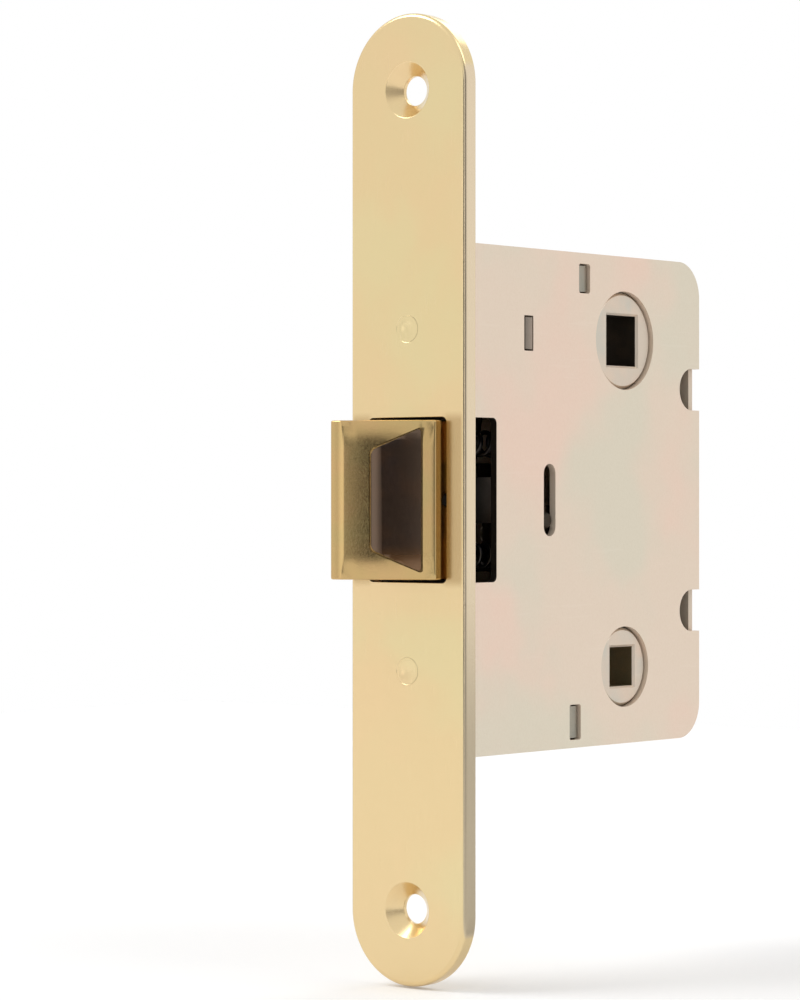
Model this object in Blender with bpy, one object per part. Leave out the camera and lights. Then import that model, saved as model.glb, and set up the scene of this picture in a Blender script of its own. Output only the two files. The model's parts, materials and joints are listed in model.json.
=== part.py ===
"""Upright mortise lock: a sprung latch, a lever follower that draws it back, and a lower
privacy turn that blocks it, in a two-part steel case behind a brass faceplate.

Metres, +Z up. The origin is the centre of the faceplate's front face. The faceplate looks
along -Y, +Y runs into the door, and the cover of the case faces +X.
"""

import math

import bmesh
import bpy
from mathutils import Matrix, Vector

# Running and seating gap between neighbouring pieces
GAP = 0.0003

# How finely rounds are stepped
WIDE_ROUND = 0.005
WIDE_ROUND_STEP = math.radians(9)
SMALL_ROUND_STEP = math.radians(18)
CIRCLE_STEP = 0.002

# Where a quarter round crosses 45 degrees, as a share of its radius from either side
ROUND_MIDDLE = 1 - math.sqrt(0.5)

# Corner radius of a round end, as a share of half its width
FULL_ROUND = 0.98

# Faceplate
PLATE_LENGTH = 0.165
PLATE_WIDTH = 0.025
PLATE_THICKNESS = 0.003
PLATE_EDGE = 0.0008
SCREW_FROM_END = 0.013
SCREW_BORE_RADIUS = 0.0025
SCREW_SINK_RADIUS = 0.00475
PLATE_RIVET_SPACING = 0.058
PLATE_RIVET_RADIUS = 0.0017
PLATE_RIVET_HEAD_RADIUS = 0.0023
PLATE_RIVET_TAIL = 0.0008
PLATE_RIVET_TAIL_EDGE = 0.0005
PLATE_RIVET_TAIL_END_RADIUS = 0.0016
OPENING_CORNER = 0.001

# Latch head, tail bar and the pins that they carry
LATCH_WIDTH = 0.0158
LATCH_HEIGHT = 0.0268
LATCH_REACH = 0.0108
LATCH_NOSE = 0.0021
LATCH_NOSE_ROUND = 0.0022
LATCH_REAR = 0.0045
LATCH_PLAY = 0.0006
LATCH_EDGE = 0.0022
BEVEL_CROWN = 0.0007
BEVEL_STEPS = 8
POCKET_HEIGHT = 0.013
POCKET_DEPTH = 0.002
WEB_WIDTH = 0.0047
INSERT_START = 0.0053
INSERT_LENGTH = 0.0085
INSERT_TIP_HEIGHT = 0.0165
INSERT_ROOT_HEIGHT = 0.0242
INSERT_THICKNESS = 0.0013
INSERT_PROUD = 0.0001
TAIL_THICKNESS = 0.0035
TAIL_HEIGHT = 0.008
TAIL_BEHIND_PIN = 0.003
TAIL_ROOT = 0.0015
TAIL_PIN_RADIUS = 0.002
TAIL_PIN_BEFORE_HUBS = 0.010
TAIL_RIVET_RADIUS = 0.001

# Case. The two hubs stand on one upright line, the backset behind the faceplate's front, and
# the middle between them lies a little below the case's
BACKSET = 0.050
HUB_SPACING = 0.0583
HUBS_BELOW_MIDDLE = 0.00065
HUB_TO_CASE_EDGE = 0.01435
REAR_SPAN = 0.0235
CASE_THICKNESS = 0.0192
CASE_SHEET = 0.00125
CASE_REAR_RADIUS = 0.0065
CASE_FRONT_RADIUS = 0.0015
WINDOW_DEPTH = 0.0091
NOTCH_RADIUS = 0.0038
NOTCH_DEPTH = 0.0063
NOTCH_SPACING = 0.0405
SLOT_BEFORE_HUBS = 0.0225
SLOT_WIDTH = 0.0034
SLOT_LENGTH = 0.0126
PILLAR_RADIUS = 0.0024
PILLAR_NECK_RADIUS = 0.0018
PILLAR_UPPER_BEFORE_HUBS = 0.0122
PILLAR_LOWER_BEFORE_HUBS = 0.015
PILLAR_FROM_EDGE = 0.0045
STAKE_PROUD = 0.0002
STAKE_TAPER = 0.0003
TENON_WIDTH = 0.0027
TENON_UPPER_HEIGHT = 0.0046
TENON_LOWER_HEIGHT = 0.0056
TENON_RECESS = 0.0006
LUG_BEFORE_HUBS = 0.0285
LUG_THICKNESS = 0.002
LUG_HEIGHT = 0.0075
LUG_TENON = 0.0055

# Both hubs: their faces lie below the sheet's, and their rims and squares are chamfered
HUB_RECESS = 0.0006
HUB_CHAMFER = 0.0004
SQUARE_CHAMFER = 0.0004

# Lever follower
FOLLOWER_RADIUS = 0.0085
FOLLOWER_FLANGE_RADIUS = 0.0098
FOLLOWER_FLANGE_BACK = -0.0036
FOLLOWER_SQUARE = 0.009
FINGER_RADIUS = 0.0102
FINGER_TIP_RADIUS = 0.002
FINGER_WIDTH = 0.003
FINGER_ROOT = 0.0015
FINGER_REST = math.radians(15)
FOLLOWER_TURN = math.radians(35)

# Retractor crank and yoke, stamped from one gauge of sheet. The step keeps the faces of the
# crank's joined forms out of one plane
LEVER_SHEET = 0.003
LAYER_GAP = 0.0005
LAYER_STEP = 0.00002
CRANK_BEFORE_HUBS = 0.023
CRANK_ABOVE_HUB = 0.0003
CRANK_BOSS_RADIUS = 0.004
CRANK_POST_RADIUS = 0.0022
CRANK_ARM_TOP = 0.0016
CRANK_ARM_ROOT_TOP = 0.0032
CRANK_ARM_PAST_CONTACT = 0.0006
CRANK_DROP_WIDTH = 0.003
CRANK_DROP_ROOT_WIDTH = 0.0054
CRANK_TIP_RADIUS = 0.0022
CRANK_REST = math.radians(-8)
CRANK_TURN = math.radians(26)
YOKE_TRAVEL = 0.0111
YOKE_BOTTOM = -0.0126
YOKE_SHOULDER_BASE = 0.0008
YOKE_REAR_TOP = 0.004
YOKE_REAR_SLOPE = 0.004
YOKE_PRONG_REACH = 0.0065
CLIP_THICKNESS = 0.0004
CLIP_RADIUS = 0.0038
CLIP_MOUTH = 0.0028
GROOVE_RADIUS = 0.0015
POST_HEAD = 0.0006

# Spring bridge
BRIDGE_BEFORE_HUBS = 0.019
BRIDGE_THICKNESS = 0.0025
BRIDGE_WIDTH = 0.007
BRIDGE_FROM_LATCH_EDGE = 0.0004
FOOT_HEIGHT = 0.004
FOOT_Z = -0.006
SPIGOT_RADIUS = 0.0011

# Springs. The closed pitch is that of an end turn, in wire thicknesses
CLOSED_PITCH = 1.05
LATCH_SPRING_RADIUS = 0.0024
LATCH_SPRING_WIRE = 0.0004
LATCH_SPRING_FROM_LATCH_EDGE = 0.0036
LATCH_SPRING_TURNS = 10
RETURN_SPRING_RADIUS = 0.0021
RETURN_SPRING_WIRE = 0.00035
RETURN_SPRING_X = -0.006
RETURN_SPRING_Z = -0.01045
RETURN_SPRING_SPAN = 0.0246
RETURN_SPRING_TURNS = 10
SEAT_WIDTH = 0.0055
SNIB_SPRING_RADIUS = 0.00115
SNIB_SPRING_WIRE = 0.00022
SNIB_SPRING_BEFORE_HUBS = 0.016
SNIB_SPRING_SPAN = 0.013
SNIB_SPRING_TURNS = 11
SNIB_SEAT_WIDTH = 0.0028

# Privacy hub and snib slide
PRIVACY_RADIUS = 0.0069
PRIVACY_SQUARE = 0.007
PRIVACY_FLANGE_RADIUS = 0.0082
PRIVACY_FLANGE_OVERLAP = 0.0004
CAM_RADIUS = 0.0085
CAM_FLANK = math.radians(40)
DETENT_WIDTH = 0.0144
DETENT_CORNER = 0.002
DETENT_SPRING_SPAN = 0.021
DETENT_SPRING_FLAT = 0.010
DETENT_SPRING_SHEET = 0.0005
DETENT_SPRING_TOE = 0.0012
SNIB_LIFT = 0.0071
SNIB_SHEET = 0.0025
SNIB_FOOT_RADIUS = 0.0015
SNIB_UNDER_PIN = 0.001
SNIB_NOSE_GAP = 0.0012
SNIB_STEP_GAP = 0.001
SNIB_SHELF_GAP = 0.0012
SNIB_NOSE_LENGTH = 0.0036
SNIB_PIN_RADIUS = 0.0014
SNIB_PIN_INTO_SHEET = 0.0008
SNIB_PIN_CHAMFER = 0.0003
SNIB_EYE_RADIUS = 0.0026
GUIDE_BEFORE_HUBS = 0.013
GUIDE_Z = -0.014
GUIDE_RADIUS = 0.0018
GUIDE_WALL = 0.0017

# Corners of the stamped pieces
WIDE_CORNER = 0.0012
CORNER = 0.0008
FINE_CORNER = 0.0005
TINY_CORNER = 0.0002

# Worked out from the sizes above
HUB_Z = HUB_SPACING / 2 - HUBS_BELOW_MIDDLE
PRIVACY_Z = -HUB_SPACING / 2 - HUBS_BELOW_MIDDLE
CASE_FRONT = PLATE_THICKNESS + GAP
CASE_REAR = BACKSET + REAR_SPAN
CASE_HALF = CASE_THICKNESS / 2
CASE_INNER = CASE_HALF - CASE_SHEET
CASE_TOP = HUB_SPACING / 2 + HUB_TO_CASE_EDGE
SCREW_Z = PLATE_LENGTH / 2 - SCREW_FROM_END
PILLAR_Z = CASE_TOP - PILLAR_FROM_EDGE
PILLAR_UPPER_Y = BACKSET - PILLAR_UPPER_BEFORE_HUBS
PILLAR_LOWER_Y = BACKSET - PILLAR_LOWER_BEFORE_HUBS
LUG_Y = BACKSET - LUG_BEFORE_HUBS
SLOT_Y = BACKSET - SLOT_BEFORE_HUBS
TAIL_PIN_Y = BACKSET - TAIL_PIN_BEFORE_HUBS
BRIDGE_Y = BACKSET - BRIDGE_BEFORE_HUBS
CRANK_Y = BACKSET - CRANK_BEFORE_HUBS
GUIDE_Y = BACKSET - GUIDE_BEFORE_HUBS
SNIB_SPRING_Y = BACKSET - SNIB_SPRING_BEFORE_HUBS
WALL_TOP = CASE_INNER - GAP
LATCH_OPENING = LATCH_HEIGHT / 2 + LATCH_PLAY
LEVER_OUTER = -CASE_INNER + LAYER_GAP
LEVER_INNER = LEVER_OUTER + LEVER_SHEET
SNIB_OUTER = CASE_INNER - LAYER_GAP
SNIB_INNER = SNIB_OUTER - SNIB_SHEET
CRANK_Z = HUB_Z + CRANK_ABOVE_HUB
CRANK_DROP = YOKE_TRAVEL / (math.sin(CRANK_REST + CRANK_TURN) - math.sin(CRANK_REST))
CRANK_TIP = Vector(
    (
        CRANK_Y + CRANK_DROP * math.sin(CRANK_REST),
        CRANK_Z - CRANK_DROP * math.cos(CRANK_REST),
    )
)
YOKE_FRONT = CRANK_TIP.x + CRANK_TIP_RADIUS + GAP
YOKE_REAR = TAIL_PIN_Y - TAIL_PIN_RADIUS - GAP
YOKE_TOP = CRANK_TIP.y + CRANK_TIP_RADIUS
RETURN_SPRING_END = YOKE_REAR + RETURN_SPRING_SPAN
SNIB_PIN_Z = -SNIB_LIFT / 2
SNIB_SPRING_FOOT = SNIB_PIN_Z + SNIB_EYE_RADIUS
SNIB_SPRING_TOP = SNIB_SPRING_FOOT + SNIB_SPRING_SPAN
CAM_RISE = SNIB_LIFT / (math.pi / 2)
OVERCUT = 0.001

BRASS = ("brass", (0.80, 0.62, 0.30, 1), 0.35, 1.0)
LATCH_BRASS = ("latch_brass", (0.62, 0.46, 0.22, 1), 0.38, 1.0)
ZINC = ("zinc_plate", (0.70, 0.60, 0.49, 1), 0.38, 1.0)
STEEL = ("oiled_steel", (0.24, 0.22, 0.20, 1), 0.36, 1.0)
SPRING_STEEL = ("spring_steel", (0.16, 0.16, 0.16, 1), 0.40, 1.0)
DARK_STEEL = ("dark_steel", (0.06, 0.05, 0.04, 1), 0.50, 1.0)
BLACK_NYLON = ("black_nylon", (0.03, 0.02, 0.015, 1), 0.30, 0.0)


def clear_scene():
    for old in list(bpy.data.objects):
        bpy.data.objects.remove(old, do_unlink=True)


def material(look):
    name, colour, roughness, metallic = look
    found = bpy.data.materials.get(name)
    if found:
        return found
    made = bpy.data.materials.new(name)
    made.use_nodes = True
    shader = made.node_tree.nodes["Principled BSDF"]
    shader.inputs["Base Color"].default_value = colour
    shader.inputs["Roughness"].default_value = roughness
    shader.inputs["Metallic"].default_value = metallic
    made.diffuse_color = colour
    return made


def without_repeats(points):
    kept = []
    for point in points:
        if not kept or (point - kept[-1]).length > 1e-7:
            kept.append(point)
    if (kept[0] - kept[-1]).length < 1e-7:
        kept.pop()
    return kept


def rounded(corners):
    """A closed outline through corners of (u, v, radius), each turned as an arc of that radius."""
    outline = []
    for i, (u, v, radius) in enumerate(corners):
        corner = Vector((u, v))
        if radius == 0:
            outline.append(corner)
            continue
        back = (Vector(corners[i - 1][:2]) - corner).normalized()
        ahead = (Vector(corners[(i + 1) % len(corners)][:2]) - corner).normalized()
        half = back.angle(ahead) / 2
        centre = corner + (back + ahead).normalized() * radius / math.sin(half)
        start = corner + back * radius / math.tan(half) - centre
        end = corner + ahead * radius / math.tan(half) - centre
        sweep = start.angle_signed(end)
        step = WIDE_ROUND_STEP if radius > WIDE_ROUND else SMALL_ROUND_STEP
        steps = max(3, math.ceil(abs(sweep) / step))
        for k in range(steps + 1):
            outline.append(centre + Matrix.Rotation(-sweep * k / steps, 2) @ start)
    return without_repeats(outline)


def box_outline(u_low, u_high, v_low, v_high, radius=0):
    corners = ((u_low, v_low), (u_high, v_low), (u_high, v_high), (u_low, v_high))
    return rounded([(u, v, radius) for u, v in corners])


def circle(u, v, radius):
    count = 8 * max(2, min(6, round(1 + radius / CIRCLE_STEP)))
    turns = [2 * math.pi * k / count for k in range(count)]
    return [Vector((u + radius * math.cos(t), v + radius * math.sin(t))) for t in turns]


def placed(u, v, along, axis):
    """The point at (u, v) across an axis and at a place along it: YZ for X, XZ for Y, XY for Z."""
    if axis == "X":
        return Vector((along, u, v))
    if axis == "Y":
        return Vector((u, along, v))
    return Vector((u, v, along))


def loft(sections, axis):
    """A closed solid through sections of (outline, place along the axis) with equal point counts."""
    shape = bmesh.new()
    rings = [
        [shape.verts.new(placed(point.x, point.y, along, axis)) for point in outline]
        for outline, along in sections
    ]
    for lower, upper in zip(rings, rings[1:]):
        for i in range(len(lower)):
            j = (i + 1) % len(lower)
            shape.faces.new((lower[i], lower[j], upper[j], upper[i]))
    shape.faces.new(rings[0])
    shape.faces.new(rings[-1])
    bmesh.ops.recalc_face_normals(shape, faces=shape.faces)
    return shape


def prism(outline, low, high, axis="X"):
    return loft(((outline, low), (outline, high)), axis)


def turned(u, v, profile, axis="X"):
    """A turned solid about the axis at (u, v), from a profile of (place along the axis, radius)."""
    widest = max(radius for _, radius in profile)
    base = circle(0, 0, widest)
    centre = Vector((u, v))
    rings = [
        ([centre + p * (radius / widest) for p in base], along) for along, radius in profile
    ]
    return loft(rings, axis)


def together(*shapes):
    """One mesh from shapes that lie apart."""
    whole = bmesh.new()
    for shape in shapes:
        lump = bpy.data.meshes.new("lump")
        shape.to_mesh(lump)
        shape.free()
        whole.from_mesh(lump)
        bpy.data.meshes.remove(lump)
    return whole


def new_object(name, shape):
    mesh = bpy.data.meshes.new(name)
    shape.to_mesh(mesh)
    shape.free()
    made = bpy.data.objects.new(name, mesh)
    bpy.context.scene.collection.objects.link(made)
    return made


def piece(name, shape, look, axis_empty=None):
    """A named piece. A moving one hangs on its body's empty, with its origin on the joint's axis."""
    if axis_empty:
        bmesh.ops.translate(shape, vec=-axis_empty.location, verts=shape.verts)
    made = new_object(name, shape)
    made.parent = axis_empty
    made.data.materials.append(material(look))
    made.data.shade_smooth()
    made.data.set_sharp_from_angle(angle=math.radians(30))
    return made


def boolean(target, shape, operation):
    """Cuts the shape from the target or joins it on, through a hidden helper."""
    helper = new_object(f"{target.name}_{operation.lower()}_{len(target.modifiers)}", shape)
    helper.hide_render = True
    helper.display_type = "WIRE"
    step = target.modifiers.new(helper.name, "BOOLEAN")
    step.operation = operation
    step.solver = "EXACT"
    step.object = helper


def cut(target, *shapes):
    for shape in shapes:
        boolean(target, shape, "DIFFERENCE")


def join(target, *shapes):
    for shape in shapes:
        boolean(target, shape, "UNION")


def joint_axis(name, location):
    empty = bpy.data.objects.new(name, None)
    empty.location = location
    empty.empty_display_size = 0.005
    bpy.context.scene.collection.objects.link(empty)
    return empty


def coil(u, v, low, high, radius, wire, turns, axis):
    """A compression spring with closed end turns. Radius is its outer one, and it fills low to high."""
    sides = 6
    steps = 11
    closed = CLOSED_PITCH * 2 * wire
    first = low + wire
    last = high - wire
    pitch = (last - first - 2 * closed) / (turns - 2)
    shape = bmesh.new()
    rings = []
    for k in range(turns * steps + 1):
        turn = k / steps
        along = first + closed * min(turn, 1) + closed * max(turn - turns + 1, 0)
        along += pitch * min(max(turn - 1, 0), turns - 2)
        around = 2 * math.pi * turn
        ring = []
        for s in range(sides):
            side = 2 * math.pi * s / sides
            out = radius - wire + wire * math.cos(side)
            ring.append(
                shape.verts.new(
                    placed(
                        u + out * math.cos(around),
                        v + out * math.sin(around),
                        along + wire * math.sin(side),
                        axis,
                    )
                )
            )
        rings.append(ring)
    for back, ahead in zip(rings, rings[1:]):
        for s in range(sides):
            t = (s + 1) % sides
            shape.faces.new((back[s], back[t], ahead[t], ahead[s]))
    shape.faces.new(rings[0])
    shape.faces.new(rings[-1])
    bmesh.ops.recalc_face_normals(shape, faces=shape.faces)
    return shape


def strip(path, thickness):
    """The closed outline of a bent strip whose middle line is the path."""
    sides = ([], [])
    for i, here in enumerate(path):
        before = path[max(i - 1, 0)]
        after = path[min(i + 1, len(path) - 1)]
        along = (after - before).normalized()
        across = Vector((-along.y, along.x)) * thickness / 2
        sides[0].append(here + across)
        sides[1].append(here - across)
    return sides[0] + sides[1][::-1]


def case_outline(inset=0):
    front = CASE_FRONT + inset
    rear = CASE_REAR - inset
    top = CASE_TOP - inset
    front_radius = max(CASE_FRONT_RADIUS - inset, TINY_CORNER)
    rear_radius = CASE_REAR_RADIUS - inset
    return rounded(
        (
            (front, -top, front_radius),
            (rear, -top, rear_radius),
            (rear, top, rear_radius),
            (front, top, front_radius),
        )
    )


def latch_window():
    front = CASE_FRONT - OVERCUT
    rear = CASE_FRONT + WINDOW_DEPTH
    return box_outline(front, rear, -LATCH_OPENING, LATCH_OPENING, OPENING_CORNER)


def rear_notch(side):
    middle = side * NOTCH_SPACING / 2
    return box_outline(
        CASE_REAR - NOTCH_DEPTH,
        CASE_REAR + NOTCH_DEPTH,
        middle - NOTCH_RADIUS,
        middle + NOTCH_RADIUS,
        NOTCH_RADIUS * FULL_ROUND,
    )


def through_cover(outline):
    return prism(outline, WALL_TOP - OVERCUT, CASE_HALF + OVERCUT)


def through_base(outline):
    return prism(outline, -CASE_HALF - OVERCUT, -CASE_INNER + OVERCUT)


def make_faceplate():
    half_length = PLATE_LENGTH / 2
    half_width = PLATE_WIDTH / 2

    def rim(inset):
        width = half_width - inset
        length = half_length - inset
        return box_outline(-width, width, -length, length, width)

    plate = piece(
        "faceplate",
        loft(
            (
                (rim(PLATE_EDGE), 0),
                (rim(PLATE_EDGE * ROUND_MIDDLE), PLATE_EDGE * ROUND_MIDDLE),
                (rim(0), PLATE_EDGE),
                (rim(0), PLATE_THICKNESS),
            ),
            "Y",
        ),
        BRASS,
    )
    half_opening = LATCH_WIDTH / 2 + LATCH_PLAY
    opening = box_outline(-half_opening, half_opening, -LATCH_OPENING, LATCH_OPENING, OPENING_CORNER)
    cut(plate, prism(opening, -OVERCUT, PLATE_THICKNESS + OVERCUT, "Y"))
    sink_depth = SCREW_SINK_RADIUS - SCREW_BORE_RADIUS
    sink = (
        (-OVERCUT, SCREW_SINK_RADIUS + OVERCUT),
        (sink_depth, SCREW_BORE_RADIUS),
        (PLATE_THICKNESS + OVERCUT, SCREW_BORE_RADIUS),
    )
    rivet_bore = PLATE_RIVET_RADIUS + GAP
    rivet_sink = PLATE_RIVET_HEAD_RADIUS - PLATE_RIVET_RADIUS
    rivet_seat = (
        (-OVERCUT, rivet_bore + rivet_sink + OVERCUT),
        (rivet_sink, rivet_bore),
        (PLATE_THICKNESS + OVERCUT, rivet_bore),
    )
    for z, profile in ((SCREW_Z, sink), (PLATE_RIVET_SPACING / 2, rivet_seat)):
        cut(plate, together(turned(0, z, profile, "Y"), turned(0, -z, profile, "Y")))


def make_faceplate_rivet(name, z):
    """A countersunk rivet, flush in the faceplate, with its tail formed behind the case's front wall."""
    tail = CASE_FRONT + CASE_SHEET + GAP
    sink = PLATE_RIVET_HEAD_RADIUS - PLATE_RIVET_RADIUS
    profile = (
        (0, PLATE_RIVET_HEAD_RADIUS),
        (sink, PLATE_RIVET_RADIUS),
        (tail, PLATE_RIVET_RADIUS),
        (tail, PLATE_RIVET_HEAD_RADIUS),
        (tail + PLATE_RIVET_TAIL_EDGE, PLATE_RIVET_HEAD_RADIUS),
        (tail + PLATE_RIVET_TAIL, PLATE_RIVET_TAIL_END_RADIUS),
    )
    piece(name, turned(0, z, profile, "Y"), BRASS)


def make_case_tray():
    tray = piece("case_tray", prism(case_outline(), -CASE_HALF, WALL_TOP), ZINC)
    cut(tray, prism(case_outline(CASE_SHEET), -CASE_INNER, CASE_HALF))
    seat_front = RETURN_SPRING_END + GAP
    seat_half = SEAT_WIDTH / 2
    seat = box_outline(
        seat_front,
        seat_front + CASE_SHEET,
        RETURN_SPRING_Z - seat_half,
        RETURN_SPRING_Z + seat_half,
    )
    seat_tip = RETURN_SPRING_X + RETURN_SPRING_RADIUS
    lug_front = LUG_Y - LUG_THICKNESS / 2
    lug_rear = LUG_Y + LUG_THICKNESS / 2
    lug = box_outline(lug_front, lug_rear, CRANK_Z - LUG_HEIGHT / 2, CRANK_Z + LUG_HEIGHT / 2)
    tenon = box_outline(lug_front, lug_rear, CRANK_Z - LUG_TENON / 2, CRANK_Z + LUG_TENON / 2)
    root = -CASE_INNER - CASE_SHEET / 2
    join(tray, prism(seat, root, seat_tip), prism(lug, root, WALL_TOP))
    join(tray, prism(tenon, WALL_TOP - OVERCUT, CASE_HALF))
    cut(tray, prism(latch_window(), -CASE_INNER, CASE_HALF))
    cut(
        tray,
        together(
            through_base(circle(BACKSET, HUB_Z, FOLLOWER_RADIUS + GAP)),
            through_base(circle(BACKSET, PRIVACY_Z, PRIVACY_RADIUS + GAP)),
            through_base(circle(PILLAR_UPPER_Y, PILLAR_Z, PILLAR_NECK_RADIUS + GAP)),
            through_base(circle(PILLAR_LOWER_Y, -PILLAR_Z, PILLAR_NECK_RADIUS + GAP)),
            through_base(circle(CRANK_Y, CRANK_Z, GROOVE_RADIUS + GAP)),
            through_base(circle(BRIDGE_Y + BRIDGE_THICKNESS / 2, FOOT_Z, SPIGOT_RADIUS + GAP)),
        ),
    )
    bore = PLATE_RIVET_RADIUS + GAP
    rivet_bore = ((CASE_FRONT - OVERCUT, bore), (CASE_FRONT + CASE_SHEET + OVERCUT, bore))
    half = PLATE_RIVET_SPACING / 2
    cut(tray, together(turned(0, half, rivet_bore, "Y"), turned(0, -half, rivet_bore, "Y")))


def make_case_cover():
    cover = piece("case_cover", prism(case_outline(), CASE_INNER, CASE_HALF), ZINC)
    root = CASE_INNER + CASE_SHEET / 2
    guide = ((SNIB_INNER - LAYER_GAP, GUIDE_RADIUS), (root, GUIDE_RADIUS))
    seat_half = SNIB_SEAT_WIDTH / 2
    seat_bottom = SNIB_SPRING_TOP + GAP
    seat = box_outline(
        SNIB_SPRING_Y - seat_half, SNIB_SPRING_Y + seat_half, seat_bottom, seat_bottom + CASE_SHEET
    )
    join(cover, turned(GUIDE_Y, GUIDE_Z, guide), prism(seat, SNIB_INNER, root))
    half_slot = SLOT_WIDTH / 2
    slot = box_outline(
        SLOT_Y - half_slot, SLOT_Y + half_slot, -SLOT_LENGTH / 2, SLOT_LENGTH / 2, half_slot
    )
    tenon_half = LUG_THICKNESS / 2 + GAP
    tenon_slot = box_outline(
        LUG_Y - tenon_half,
        LUG_Y + tenon_half,
        CRANK_Z - LUG_TENON / 2 - GAP,
        CRANK_Z + LUG_TENON / 2 + GAP,
    )
    cut(
        cover,
        together(
            through_cover(latch_window()),
            through_cover(slot),
            through_cover(tenon_slot),
            through_cover(rear_notch(1)),
            through_cover(rear_notch(-1)),
            through_cover(circle(BACKSET, HUB_Z, FOLLOWER_RADIUS + GAP)),
            through_cover(circle(BACKSET, PRIVACY_Z, PRIVACY_RADIUS + GAP)),
            through_cover(tenon_outline(PILLAR_UPPER_Y, PILLAR_Z, TENON_UPPER_HEIGHT, GAP)),
            through_cover(tenon_outline(PILLAR_LOWER_Y, -PILLAR_Z, TENON_LOWER_HEIGHT, GAP)),
        ),
    )


def tenon_outline(y, z, height, margin):
    half_width = TENON_WIDTH / 2 + margin
    half_height = height / 2 + margin
    return box_outline(y - half_width, y + half_width, z - half_height, z + half_height, FINE_CORNER)


def make_spacer_pillar(name, y, z, tenon_height):
    """A shouldered pillar between the sheets: staked over in the tray, with a tenon in the cover."""
    shoulder = CASE_INNER - GAP
    profile = (
        (-CASE_HALF - STAKE_PROUD, PILLAR_NECK_RADIUS - STAKE_TAPER),
        (-CASE_HALF, PILLAR_NECK_RADIUS),
        (-shoulder, PILLAR_NECK_RADIUS),
        (-shoulder, PILLAR_RADIUS),
        (shoulder, PILLAR_RADIUS),
    )
    pillar = piece(name, turned(y, z, profile), STEEL)
    tenon = tenon_outline(y, z, tenon_height, 0)
    join(pillar, prism(tenon, shoulder - PILLAR_RADIUS, CASE_HALF - TENON_RECESS))


def make_crank_post():
    """The crank's pivot, staked in the tray, with a groove for its clip."""
    groove = LEVER_INNER + GAP
    groove_end = groove + CLIP_THICKNESS + 2 * GAP
    profile = (
        (-CASE_HALF - STAKE_PROUD, GROOVE_RADIUS - STAKE_TAPER),
        (-CASE_HALF, GROOVE_RADIUS),
        (-CASE_INNER + GAP, GROOVE_RADIUS),
        (-CASE_INNER + GAP, CRANK_POST_RADIUS),
        (groove, CRANK_POST_RADIUS),
        (groove, GROOVE_RADIUS),
        (groove_end, GROOVE_RADIUS),
        (groove_end, CRANK_POST_RADIUS),
        (groove_end + POST_HEAD, CRANK_POST_RADIUS - STAKE_TAPER),
    )
    piece("crank_post", turned(CRANK_Y, CRANK_Z, profile), STEEL)


def make_crank_clip():
    """A snap ring in the post's groove, open at the front."""
    low = LEVER_INNER + 2 * GAP
    high = low + CLIP_THICKNESS
    clip = piece("crank_clip", prism(circle(CRANK_Y, CRANK_Z, CLIP_RADIUS), low, high), SPRING_STEEL)
    eye = GROOVE_RADIUS + GAP
    cut(clip, prism(circle(CRANK_Y, CRANK_Z, eye), low - OVERCUT, high + OVERCUT))
    mouth_half = CLIP_MOUTH / 2
    mouth = box_outline(
        CRANK_Y, CRANK_Y + 2 * CLIP_RADIUS, CRANK_Z - mouth_half, CRANK_Z + mouth_half
    )
    cut(clip, prism(mouth, low - OVERCUT, high + OVERCUT))


def make_spring_bridge():
    """The block that guides the tail bar and holds the latch springs' rear ends."""
    rear = BRIDGE_Y + BRIDGE_THICKNESS
    half_width = BRIDGE_WIDTH / 2
    half_height = LATCH_HEIGHT / 2 - BRIDGE_FROM_LATCH_EDGE
    block = prism(box_outline(BRIDGE_Y, rear, -half_height, half_height), -half_width, half_width)
    bridge = piece("spring_bridge", block, STEEL)
    foot = box_outline(BRIDGE_Y, rear, FOOT_Z - FOOT_HEIGHT / 2, FOOT_Z + FOOT_HEIGHT / 2)
    seat = -CASE_INNER + GAP
    spigot = (
        (-CASE_HALF - STAKE_PROUD, SPIGOT_RADIUS - STAKE_TAPER),
        (-CASE_HALF, SPIGOT_RADIUS),
        (seat + OVERCUT, SPIGOT_RADIUS),
    )
    join(bridge, prism(foot, seat, -half_width + OVERCUT / 2))
    join(bridge, turned(BRIDGE_Y + BRIDGE_THICKNESS / 2, FOOT_Z, spigot))
    half_tail = TAIL_THICKNESS / 2 + GAP
    window = box_outline(-half_tail, half_tail, -TAIL_HEIGHT / 2 - GAP, TAIL_HEIGHT / 2 + GAP)
    cut(bridge, prism(window, BRIDGE_Y - OVERCUT, rear + OVERCUT, "Y"))


def make_springs():
    from_middle = LATCH_HEIGHT / 2 - LATCH_SPRING_FROM_LATCH_EDGE
    for name, z in (("latch_spring_upper", from_middle), ("latch_spring_lower", -from_middle)):
        turns = coil(
            0,
            z,
            LATCH_REAR + GAP,
            BRIDGE_Y - GAP,
            LATCH_SPRING_RADIUS,
            LATCH_SPRING_WIRE,
            LATCH_SPRING_TURNS,
            "Y",
        )
        piece(name, turns, SPRING_STEEL)
    turns = coil(
        RETURN_SPRING_X,
        RETURN_SPRING_Z,
        YOKE_REAR + GAP,
        RETURN_SPRING_END,
        RETURN_SPRING_RADIUS,
        RETURN_SPRING_WIRE,
        RETURN_SPRING_TURNS,
        "Y",
    )
    piece("return_spring", turns, SPRING_STEEL)
    turns = coil(
        (SNIB_INNER + SNIB_OUTER) / 2,
        SNIB_SPRING_Y,
        SNIB_SPRING_FOOT + GAP,
        SNIB_SPRING_TOP,
        SNIB_SPRING_RADIUS,
        SNIB_SPRING_WIRE,
        SNIB_SPRING_TURNS,
        "Z",
    )
    piece("snib_spring", turns, SPRING_STEEL)


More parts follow.
